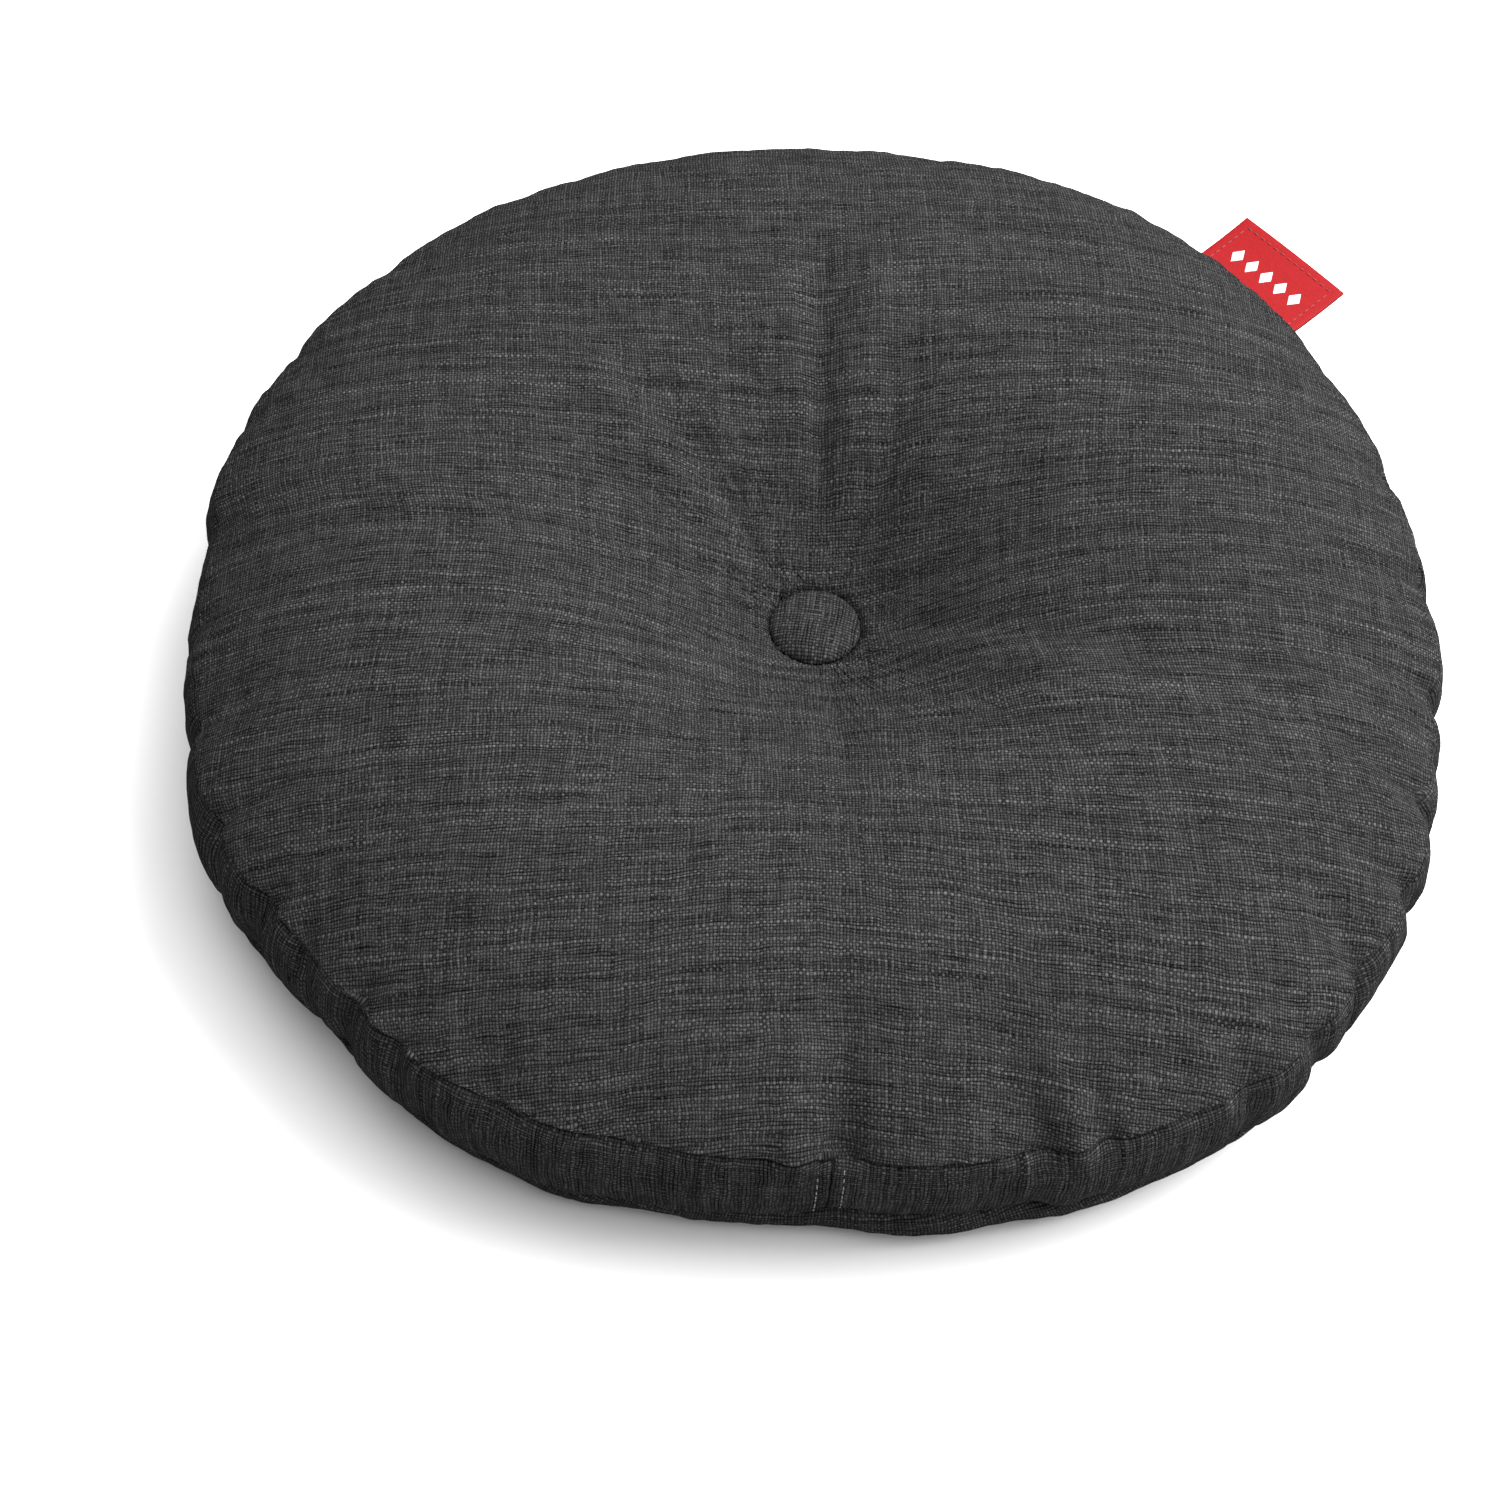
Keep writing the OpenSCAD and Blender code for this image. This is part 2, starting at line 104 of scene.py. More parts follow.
def object_from(bm: bmesh.types.BMesh, name: str, smooth: bool = True) -> bpy.types.Object:
    """Turn a bmesh into a linked object at the origin.

    Args:
        bm: the finished bmesh, which is freed.
        name: the new object's name.
        smooth: whether its faces are shaded smooth.

    Returns:
        The new object.
    """
    mesh = bpy.data.meshes.new(name)
    for face in bm.faces:
        face.smooth = smooth
    bm.to_mesh(mesh)
    bm.free()
    return linked(name, mesh)


def basis(x_axis: Vector, z_axis: Vector, origin: Vector) -> Matrix:
    """Make the placing matrix whose X and Z axes follow two directions.

    Args:
        x_axis: where local +X goes; it is made square to z_axis.
        z_axis: where local +Z goes.
        origin: where the local origin goes.

    Returns:
        A 4 by 4 matrix.
    """
    z = z_axis.normalized()
    x = (x_axis - z * x_axis.dot(z)).normalized()
    y = z.cross(x)
    turned = Matrix((x, y, z)).transposed().to_4x4()
    return Matrix.Translation(origin) @ turned


def aimed(eye: Vector, target: Vector, roll: float = 0.0) -> Matrix:
    """Make the matrix of a camera or light at eye that looks at target, rolled in degrees."""
    look = (target - eye).to_track_quat("-Z", "Y").to_matrix().to_4x4()
    return Matrix.Translation(eye) @ look @ Matrix.Rotation(math.radians(roll), 4, "Z")


def spun(line: Sequence[Sequence[float]], steps: int, merge: float) -> bmesh.types.BMesh:
    """Spin an outline once round the upright axis.

    Args:
        line: the outline's points, in metres.
        steps: how many columns the shell gets.
        merge: how near points have to be to become one, in metres.

    Returns:
        The shell, with its faces made to agree.
    """
    bm = bmesh.new()
    verts = [bm.verts.new(point) for point in line]
    edges = [bm.edges.new(pair) for pair in zip(verts, verts[1:])]
    bmesh.ops.spin(
        bm, geom=verts + edges, cent=(0, 0, 0), axis=(0, 0, 1), angle=2 * math.pi,
        steps=steps, use_merge=True,
    )
    bmesh.ops.remove_doubles(bm, verts=bm.verts[:], dist=merge)
    bmesh.ops.recalc_face_normals(bm, faces=bm.faces[:])
    return bm


def face_up(bm: bmesh.types.BMesh) -> None:
    """Turn every face over if the topmost one looks down."""
    top = max(bm.faces, key=lambda f: f.calc_center_median().z)
    if top.normal.z < 0:
        bmesh.ops.reverse_faces(bm, faces=bm.faces[:])


def thicken(obj: bpy.types.Object, name: str, thickness: float, offset: float = -1.0) -> None:
    """Give a sheet its thickness, inwards unless offset says otherwise."""
    sheet = obj.modifiers.new(name, "SOLIDIFY")
    sheet.thickness = thickness
    sheet.offset = offset


def bevelled(obj: bpy.types.Object, name: str, width: float) -> bpy.types.Modifier:
    """Round a piece's edges in two steps."""
    edges = obj.modifiers.new(name, "BEVEL")
    edges.width = width
    edges.segments = 2
    return edges


def wire_along(
    name: str, points: Sequence[Sequence[float]], radius: float, resolution: int, closed: bool
) -> bpy.types.Object:
    """Run a round wire through points.

    Args:
        name: the piece's name.
        points: the wire's middle line, in metres.
        radius: the wire's radius.
        resolution: how finely its round section is divided.
        closed: whether it joins up with itself; an open wire gets end caps.

    Returns:
        The wire's object.
    """
    curve = bpy.data.curves.new(name, "CURVE")
    curve.dimensions = "3D"
    curve.bevel_depth = radius
    curve.bevel_resolution = resolution
    curve.use_fill_caps = not closed
    line = curve.splines.new("POLY")
    line.points.add(len(points) - 1)
    for knot, point in zip(line.points, points):
        knot.co = (*point, 1.0)
    line.use_cyclic_u = closed
    return linked(name, curve)


# ---------------------------------------------------------------- materials


class NodeTree:
    """A material's shader tree, with short calls that add and join nodes."""

    def __init__(self, name: str) -> None:
        """Make a material that holds only a Principled shader and its output."""
        self.material = bpy.data.materials.new(name)
        self.material.use_nodes = True
        self.tree = self.material.node_tree
        self.tree.nodes.clear()
        self.output = self.tree.nodes.new("ShaderNodeOutputMaterial")
        self.shader = self.tree.nodes.new("ShaderNodeBsdfPrincipled")
        self.tree.links.new(self.shader.outputs["BSDF"], self.output.inputs["Surface"])

    def join(self, source: Value, target: Socket) -> None:
        """Link a socket to another, or set the other to a number."""
        if isinstance(source, Socket):
            self.tree.links.new(source, target)
        else:
            target.default_value = source

    def math(self, operation: str, *values: Value) -> Socket:
        """Add a Math node.

        Args:
            operation: the node's operation, such as "ADD".
            *values: its inputs, as sockets or numbers.

        Returns:
            The node's output socket.
        """
        node = self.tree.nodes.new("ShaderNodeMath")
        node.operation = operation
        for index, value in enumerate(values):
            self.join(value, node.inputs[index])
        return node.outputs[0]

    def add(self, a: Value, b: Value) -> Socket:
        """Add two values."""
        return self.math("ADD", a, b)

    def take(self, a: Value, b: Value) -> Socket:
        """Take b from a."""
        return self.math("SUBTRACT", a, b)

    def times(self, a: Value, b: Value) -> Socket:
        """Multiply two values."""
        return self.math("MULTIPLY", a, b)

    def line(self, value: Socket, slope: float, start: float) -> Socket:
        """Give value times slope plus start."""
        return self.math("MULTIPLY_ADD", value, slope, start)

    def away(self, value: Socket, power: float) -> Socket:
        """Raise a value's size to a power."""
        return self.math("POWER", self.math("ABSOLUTE", value), power)

    def wave(self, value: Socket, rate: float) -> Socket:
        """Give a row of round humps from 0 to 1, by the size of a sine."""
        return self.math("ABSOLUTE", self.math("SINE", self.times(value, rate)))

    def vector(self, x: object = 0.0, y: object = 0.0, z: object = 0.0) -> Socket:
        """Add a Combine XYZ node and give its output."""
        node = self.tree.nodes.new("ShaderNodeCombineXYZ")
        for value, target in zip((x, y, z), node.inputs):
            self.join(value, target)
        return node.outputs[0]

    def parts(self, vector: Socket) -> tuple[Socket, ...]:
        """Add a Separate XYZ node and give its three outputs."""
        node = self.tree.nodes.new("ShaderNodeSeparateXYZ")
        self.join(vector, node.inputs[0])
        return tuple(node.outputs)

    def noise(self, vector: Socket, scale: float, detail: float = 0.0) -> Socket:
        """Add a Noise Texture node and give its value, which lies round 0.5."""
        node = self.tree.nodes.new("ShaderNodeTexNoise")
        self.join(vector, node.inputs["Vector"])
        node.inputs["Scale"].default_value = scale
        node.inputs["Detail"].default_value = detail
        return node.outputs[0]

    def ramp(self, value: Socket, stops: Sequence[tuple[float, tuple]]) -> Socket:
        """Add a Color Ramp node.

        Args:
            value: the socket that runs along the ramp.
            stops: pairs of a place from 0 to 1 and a colour of three numbers.

        Returns:
            The ramp's colour socket.
        """
        node = self.tree.nodes.new("ShaderNodeValToRGB")
        elements = node.color_ramp.elements
        while len(elements) < len(stops):
            elements.new(0.5)
        for element, (place, colour) in zip(elements, stops):
            element.position = place
            element.color = (*colour, 1.0)
        self.join(value, node.inputs[0])
        return node.outputs[0]

    def object_place(self) -> Socket:
        """Give the Object coordinates, in metres."""
        return self.tree.nodes.new("ShaderNodeTexCoord").outputs["Object"]

    def cloth_place(self) -> Socket:
        """Give the place on the flat cut cloth, in metres."""
        node = self.tree.nodes.new("ShaderNodeUVMap")
        node.uv_map = UV_NAME
        return node.outputs[0]

    def bump(self, height: Socket, distance: float, strength: float = 1.0) -> None:
        """Raise the surface by a height socket, in metres times distance."""
        node = self.tree.nodes.new("ShaderNodeBump")
        node.inputs["Distance"].default_value = distance
        node.inputs["Strength"].default_value = strength
        self.join(height, node.inputs["Height"])
        self.join(node.outputs[0], self.shader.inputs["Normal"])

    def finish(self, colour: object, roughness: float, **sockets: float) -> bpy.types.Material:
        """Set the shader and give the material.

        Args:
            colour: a colour socket, or three numbers.
            roughness: the shader's roughness.
            **sockets: further shader sockets by name, with _ for a space.

        Returns:
            The material.
        """
        target = self.shader.inputs["Base Color"]
        if isinstance(colour, Socket):
            self.join(colour, target)
        else:
            target.default_value = (*colour, 1.0)
        self.shader.inputs["Roughness"].default_value = roughness
        for name, value in sockets.items():
            self.shader.inputs[name.replace("_", " ")].default_value = value
        return self.material


@dataclass(frozen=True)
class HeatherCloth:
    """Coarse plain weave of mottled charcoal yarn, which follows the cut cloth, with painted shade in
    the hollows between its yarns.
    """

    name: str = "heather_cloth"
    warp_pitch: float = 1.27 * MM
    weft_pitch: float = 1.32 * MM
    dark: tuple = (0.0038, 0.0038, 0.0039)
    middle: tuple = (0.0285, 0.0285, 0.0291)
    light: tuple = (0.078, 0.078, 0.0795)
    relief: float = 0.2 * MM
    # How round each yarn's section is, and how narrow the painted line of shade between yarns
    warp_shape: float = 1.5
    weft_shape: float = 1.7
    edge_shape: float = 3.0
    # How far the whole weave and each weft yarn stray, in pitches
    wander: float = 1.4
    weft_wander: float = 0.7
    # The shares of a yarn's own shade, its slubs and its flecks
    mix: tuple[float, float, float] = (0.32, 0.36, 0.32)
    fibre_tone: float = 0.7
    # How much a warp yarn's tone varies, and where it starts
    warp_spread: tuple[float, float] = (0.7, 0.13)
    # Painted shade where the rows open: the least noise that shows, its gain and the darkest that this
    # painted shade gets
    opening_shade: tuple[float, float, float] = (0.42, 3.4, 0.85)
    # Painted shade in the hollows between yarns: how the height darkens the cloth, and how much the edge
    # of each column is darkened
    hollow_shade: tuple[float, float] = (0.76, 0.24)
    column_edge_shade: float = -0.4

    def yarn_tone(self, t: NodeTree, along: object, row: object, seed: float) -> Socket:
        """Give the lightness of one yarn, from slow slubs, short flecks and its own shade.

        Args:
            t: the tree to add to.
            along: the socket that runs along the yarn, in yarn pitches.
            row: the socket with the yarn's number.
            seed: a number that tells warp from weft.

        Returns:
            A socket with a value round 0.5.
        """
        shade = t.noise(t.vector(t.times(row, 0.731), seed, 0.0), 1.0)
        slub = t.noise(t.vector(t.times(along, 0.05), t.times(row, 5.37), seed), 1.0)
        fleck = t.noise(t.vector(t.times(along, 0.24), t.times(row, 9.71), seed), 1.0)
        own, slubs, flecks = self.mix
        total = t.add(t.times(shade, own), t.times(slub, slubs))
        return t.add(total, t.times(fleck, flecks))

    def build(self) -> bpy.types.Material:
        """Make the material."""
        t = NodeTree(self.name)
        place = t.cloth_place()
        u, v, _ = t.parts(place)
        wander = t.noise(place, 55.0, 1.0)
        shift = t.times(t.take(wander, 0.5), self.wander)
        a = t.add(t.math("DIVIDE", u, self.warp_pitch), shift)
        b = t.add(t.math("DIVIDE", v, self.weft_pitch), shift)
        uneven = t.noise(t.vector(t.times(a, 0.09), t.times(b, 0.75), 1.7), 1.0)
        b = t.add(b, t.times(t.take(uneven, 0.5), self.weft_wander))
        column, row = t.math("FLOOR", a), t.math("FLOOR", b)
        across_warp = t.take(t.times(t.math("FRACT", a), 2.0), 1.0)
        across_weft = t.take(t.times(t.math("FRACT", b), 2.0), 1.0)
        warp_round = t.take(1.0, t.away(across_warp, self.warp_shape))
        weft_round = t.take(1.0, t.away(across_weft, self.weft_shape))
        weft_up = t.math("FLOORED_MODULO", t.add(column, row), 2.0)
        warp_up = t.take(1.0, weft_up)
        weft_lift = t.line(warp_round, 0.7, 0.3)
        warp_lift = t.line(weft_round, 0.6, 0.4)
        weft_height = t.times(weft_round, weft_lift)
        warp_height = t.times(t.times(warp_round, warp_lift), 0.92)
        height = t.math(
            "ADD", t.times(weft_height, weft_up), t.times(warp_height, warp_up)
        )
        weft_tone = self.yarn_tone(t, a, row, 2.3)
        warp_tone = self.yarn_tone(t, b, column, 8.9)
        warp_tone = t.line(warp_tone, *self.warp_spread)
        tone = t.add(t.times(weft_tone, weft_up), t.times(warp_tone, warp_up))
        fibre = t.noise(t.vector(t.times(a, 2.1), t.times(b, 3.0), 4.0), 1.0, 1.0)
        tone = t.add(tone, t.times(t.take(fibre, 0.5), self.fibre_tone))
        colour = t.ramp(tone, [(0.25, self.dark), (0.5, self.middle), (0.78, self.light)])
        # The colour is scaled down by painted shade: in the hollows between yarns, where the rows open
        # and at each column's edge
        open_row_shade = t.noise(t.vector(t.times(a, 0.11), t.times(row, 3.17), 5.5), 1.0)
        least, gain, darkest = self.opening_shade
        open_row_shade = t.times(t.math("MAXIMUM", t.take(open_row_shade, least), 0.0), gain)
        row_edge = t.away(across_weft, self.edge_shape)
        column_edge = t.away(across_warp, self.edge_shape)
        row_split_shade = t.take(1.0, t.math("MINIMUM", t.times(row_edge, open_row_shade), darkest))
        gap_shade = t.line(height, *self.hollow_shade)
        gap_shade = t.times(t.times(gap_shade, row_split_shade), t.line(column_edge, self.column_edge_shade, 1.0))
        shaded = t.tree.nodes.new("ShaderNodeVectorMath")
        shaded.operation = "SCALE"
        t.join(colour, shaded.inputs[0])
        t.join(gap_shade, shaded.inputs["Scale"])
        rough = t.line(fibre, 0.5, -0.25)
        t.bump(t.add(height, rough), self.relief, 0.8)
        return t.finish(shaded.outputs[0], 0.95, Specular_IOR_Level=0.0)


@dataclass(frozen=True)
class SewingThread:
    """Twisted sewing thread, with painted shade in the grooves between its plies."""

    name: str
    colour: tuple
    twist: float = 0.6 * MM

    def build(self) -> bpy.types.Material:
        """Make the material."""
        t = NodeTree(self.name)
        x, y, z = t.parts(t.object_place())
        lay = t.add(t.add(x, y), t.times(z, 1.4))
        ply = t.wave(lay, math.pi / self.twist)
        # Painted shade: the colour is darkened in the grooves between the plies
        dark = tuple(c * 0.45 for c in self.colour)
        t.bump(ply, 0.12 * MM)
        return t.finish(t.ramp(ply, [(0.0, dark), (0.7, self.colour)]), 0.7, Sheen_Weight=0.1)


@dataclass(frozen=True)
class RibbedTape:
    """Close woven tape whose fine ribs follow the tape's own flat cut, with painted shade in the rib
    grooves and a painted highlight on the rib tops.
    """

    name: str
    colour: tuple
    rib: float = 0.55 * MM
    relief: float = 0.1 * MM

    def build(self) -> bpy.types.Material:
        """Make the material."""
        t = NodeTree(self.name)
        u, v, _ = t.parts(t.cloth_place())
        a, b = t.math("DIVIDE", u, self.rib), t.math("DIVIDE", v, self.rib * 1.6)
        rib = t.wave(a, math.pi)
        pick = t.wave(t.add(b, t.math("FLOOR", a)), math.pi / 2)
        height = t.times(rib, t.line(pick, 0.5, 0.5))
        mottle = t.noise(t.vector(a, t.times(b, 0.4), 3.0), 0.6, 1.0)
        # Painted shade and highlight: the tone follows the rib height, darker in the grooves and lighter
        # on the tops, mixed with a random mottle
        tone = t.add(t.times(height, 0.6), t.times(mottle, 0.4))
        low = tuple(c * 0.5 for c in self.colour)
        high = tuple(min(1.0, c * 1.12) for c in self.colour)
        t.bump(height, self.relief, 0.7)
        return t.finish(
            t.ramp(tone, [(0.1, low), (0.45, self.colour), (0.9, high)]),
            0.62,
            Specular_IOR_Level=0.08,
        )


@dataclass(frozen=True)
class TwillTape:
    """Fine diagonal twill, on Object coordinates, for the zip's tapes, with painted shade in its
    grooves.
    """

    name: str
    colour: tuple
    rib: float = 0.6 * MM

    def build(self) -> bpy.types.Material:
        """Make the material."""
        t = NodeTree(self.name)
        x, y, z = t.parts(t.object_place())
        slope = t.add(t.take(x, y), z)
        rib = t.wave(slope, math.pi / self.rib)
        mottle = t.noise(t.object_place(), 900.0, 1.0)
        # Painted shade: the tone follows the twill's rib wave, darker in its grooves, mixed with a
        # random mottle
        tone = t.add(t.times(rib, 0.7), t.times(mottle, 0.3))
        dark = tuple(c * 0.4 for c in self.colour)
        t.bump(rib, 0.1 * MM)
        return t.finish(t.ramp(tone, [(0.1, dark), (0.8, self.colour)]), 0.85, Sheen_Weight=0.1)


@dataclass(frozen=True)
class Nylon:
    """Satin black nylon of the zip's teeth."""

    name: str = "zip_nylon"
    colour: tuple = (0.016, 0.016, 0.017)

    def build(self) -> bpy.types.Material:
        """Make the material."""
        t = NodeTree(self.name)
        cloud = t.noise(t.object_place(), 1400.0, 2.0)
        light = tuple(c * 1.6 for c in self.colour)
        t.bump(cloud, 0.03 * MM)
        return t.finish(t.ramp(cloud, [(0.35, self.colour), (0.7, light)]), 0.38)


@dataclass(frozen=True)
class Metal:
    """Lacquered or plain pressed metal, slightly scuffed."""

    name: str
    colour: tuple
    metallic: float
    roughness: float

    def build(self) -> bpy.types.Material:
        """Make the material."""
        t = NodeTree(self.name)
        scuff = t.noise(t.object_place(), 420.0, 4.0)
        worn = tuple(min(1.0, c * 1.9 + 0.01) for c in self.colour)
        t.bump(scuff, 0.02 * MM)
        return t.finish(
            t.ramp(scuff, [(0.45, self.colour), (0.75, worn)]), self.roughness, Metallic=self.metallic
        )


@dataclass(frozen=True)
class SoftWhite:
    """Off-white lining, twine or fibre, tangled at its own scale."""

    name: str
    colour: tuple
    grain: float
    relief: float

    def build(self) -> bpy.types.Material:
        """Make the material."""
        t = NodeTree(self.name)
        tangle = t.noise(t.object_place(), self.grain, 3.0)
        shade = tuple(c * 0.72 for c in self.colour)
        t.bump(tangle, self.relief)
        return t.finish(t.ramp(tangle, [(0.35, shade), (0.62, self.colour)]), 0.95, Sheen_Weight=0.2)


@dataclass(frozen=True)
class Finishes:
    """Every material of the cushion, made once."""

    cloth: bpy.types.Material
    dark_thread: bpy.types.Material
    grey_thread: bpy.types.Material
    label_tape: bpy.types.Material
    label_thread: bpy.types.Material
    motif: bpy.types.Material
    zip_tape: bpy.types.Material
    nylon: bpy.types.Material
    lacquer: bpy.types.Material
    pressed: bpy.types.Material
    twine: bpy.types.Material
    lining: bpy.types.Material
    fibre: bpy.types.Material

    @classmethod
    def make(cls) -> "Finishes":
        """Build every material."""
        return cls(
            cloth=HeatherCloth().build(),
            dark_thread=SewingThread("black_thread", (0.02, 0.02, 0.02)).build(),
            grey_thread=SewingThread("grey_thread", (0.1, 0.1, 0.1)).build(),
            label_tape=RibbedTape("red_tape", (0.143, 0.0017, 0.0028)).build(),
            label_thread=SewingThread("dark_red_thread", (0.14, 0.003, 0.007)).build(),
            motif=SewingThread("white_motif_thread", (0.46, 0.455, 0.455), 0.5 * MM).build(),
            zip_tape=TwillTape("black_zip_tape", (0.03, 0.03, 0.032)).build(),
            nylon=Nylon().build(),
            lacquer=Metal("black_lacquer", (0.02, 0.02, 0.021), 0.6, 0.32).build(),
            pressed=Metal("pressed_metal", (0.55, 0.55, 0.56), 1.0, 0.35).build(),
            twine=SoftWhite("waxed_twine", (0.75, 0.72, 0.66), 2600.0, 0.1 * MM).build(),
            lining=SoftWhite("lining_cloth", (0.82, 0.81, 0.78), 700.0, 0.15 * MM).build(),
            fibre=SoftWhite("loose_fibre", (0.86, 0.86, 0.85), 160.0, 1.2 * MM).build(),
        )


def dress(obj: bpy.types.Object, material: bpy.types.Material) -> None:
    """Give an object one material in all its slots."""
    obj.data.materials.clear()
    obj.data.materials.append(material)


# ---------------------------------------------------------------- the cover


class Patch(Enum):
    """The cut pieces of the cover's cloth."""

    TOP = 0
    BAND_LEFT = 1
    BAND_RIGHT = 2
    ZIP_UPPER = 3
    ZIP_SLOT = 4
    ZIP_LOWER = 5
    BOTTOM = 6


@dataclass(frozen=True)
class Fold:
    """One soft fold in a panel, running from one place to another.

    Places are a direction in degrees and a distance from the button in metres. A positive
    depth is a valley and a negative one a ridge.
    """

    near: tuple[float, float]
    far: tuple[float, float]
    width: tuple[float, float]
    depth: float

    def drop(self, x: np.ndarray, y: np.ndarray) -> np.ndarray:
        """Give how far the fold lowers the cloth at each place.

        Args:
            x: places along X, in metres.
            y: places along Y, in metres.

        Returns:
            The drop in metres, which is negative on a ridge.
        """
        start, end = (
            np.array([d * math.cos(math.radians(a)), d * math.sin(math.radians(a))])
            for a, d in (self.near, self.far)
        )
        line = end - start
        length = float(np.hypot(*line))
        line = line / length
        along = ((x - start[0]) * line[0] + (y - start[1]) * line[1]) / length
        across = (x - start[0]) * -line[1] + (y - start[1]) * line[0]
        wide = self.width[0] + (self.width[1] - self.width[0]) * np.clip(along, 0.0, 1.0)
        fade = smooth_step((along + 0.25) / 0.4) * smooth_step((1.25 - along) / 0.5)
        return self.depth * fade * bell(across / wide)


@dataclass(frozen=True)
class Pucker:
    """A groove where the cloth is gathered into a seam.

    It runs up into the panel and down over the band from the seam. A negative depth makes a
    ridge.
    """

    az: float
    width: float
    depth: float
    up: float = 22 * MM
    down: float = 0.6
    lean: float = 0.0

    def on_panel(self, az: np.ndarray, distance: np.ndarray) -> np.ndarray:
        """Give the groove's depth on a panel.

        Args:
            az: directions in degrees.
            distance: distances from the seam, in metres.

        Returns:
            Depths in metres.
        """
        wide = self.width * (1.0 + 0.35 * distance / self.up)
        return self.depth * bell(turn_between(az, self.az) / wide) * np.exp(-distance / self.up)

    def on_band(self, az: np.ndarray, share: np.ndarray) -> np.ndarray:
        """Give the groove's depth on the band.

        Args:
            az: directions in degrees.
            share: heights, from -1 at the bottom seam to 1 at the top one.

        Returns:
            Depths in metres.
        """
        side = turn_between(az, self.az) - self.lean * (1.0 - share) / 2
        reach = np.exp(-(1.0 - share) / self.down) + 0.7 * np.exp(-(1.0 + share) / self.down)
        return self.depth * bell(side / self.width) * reach


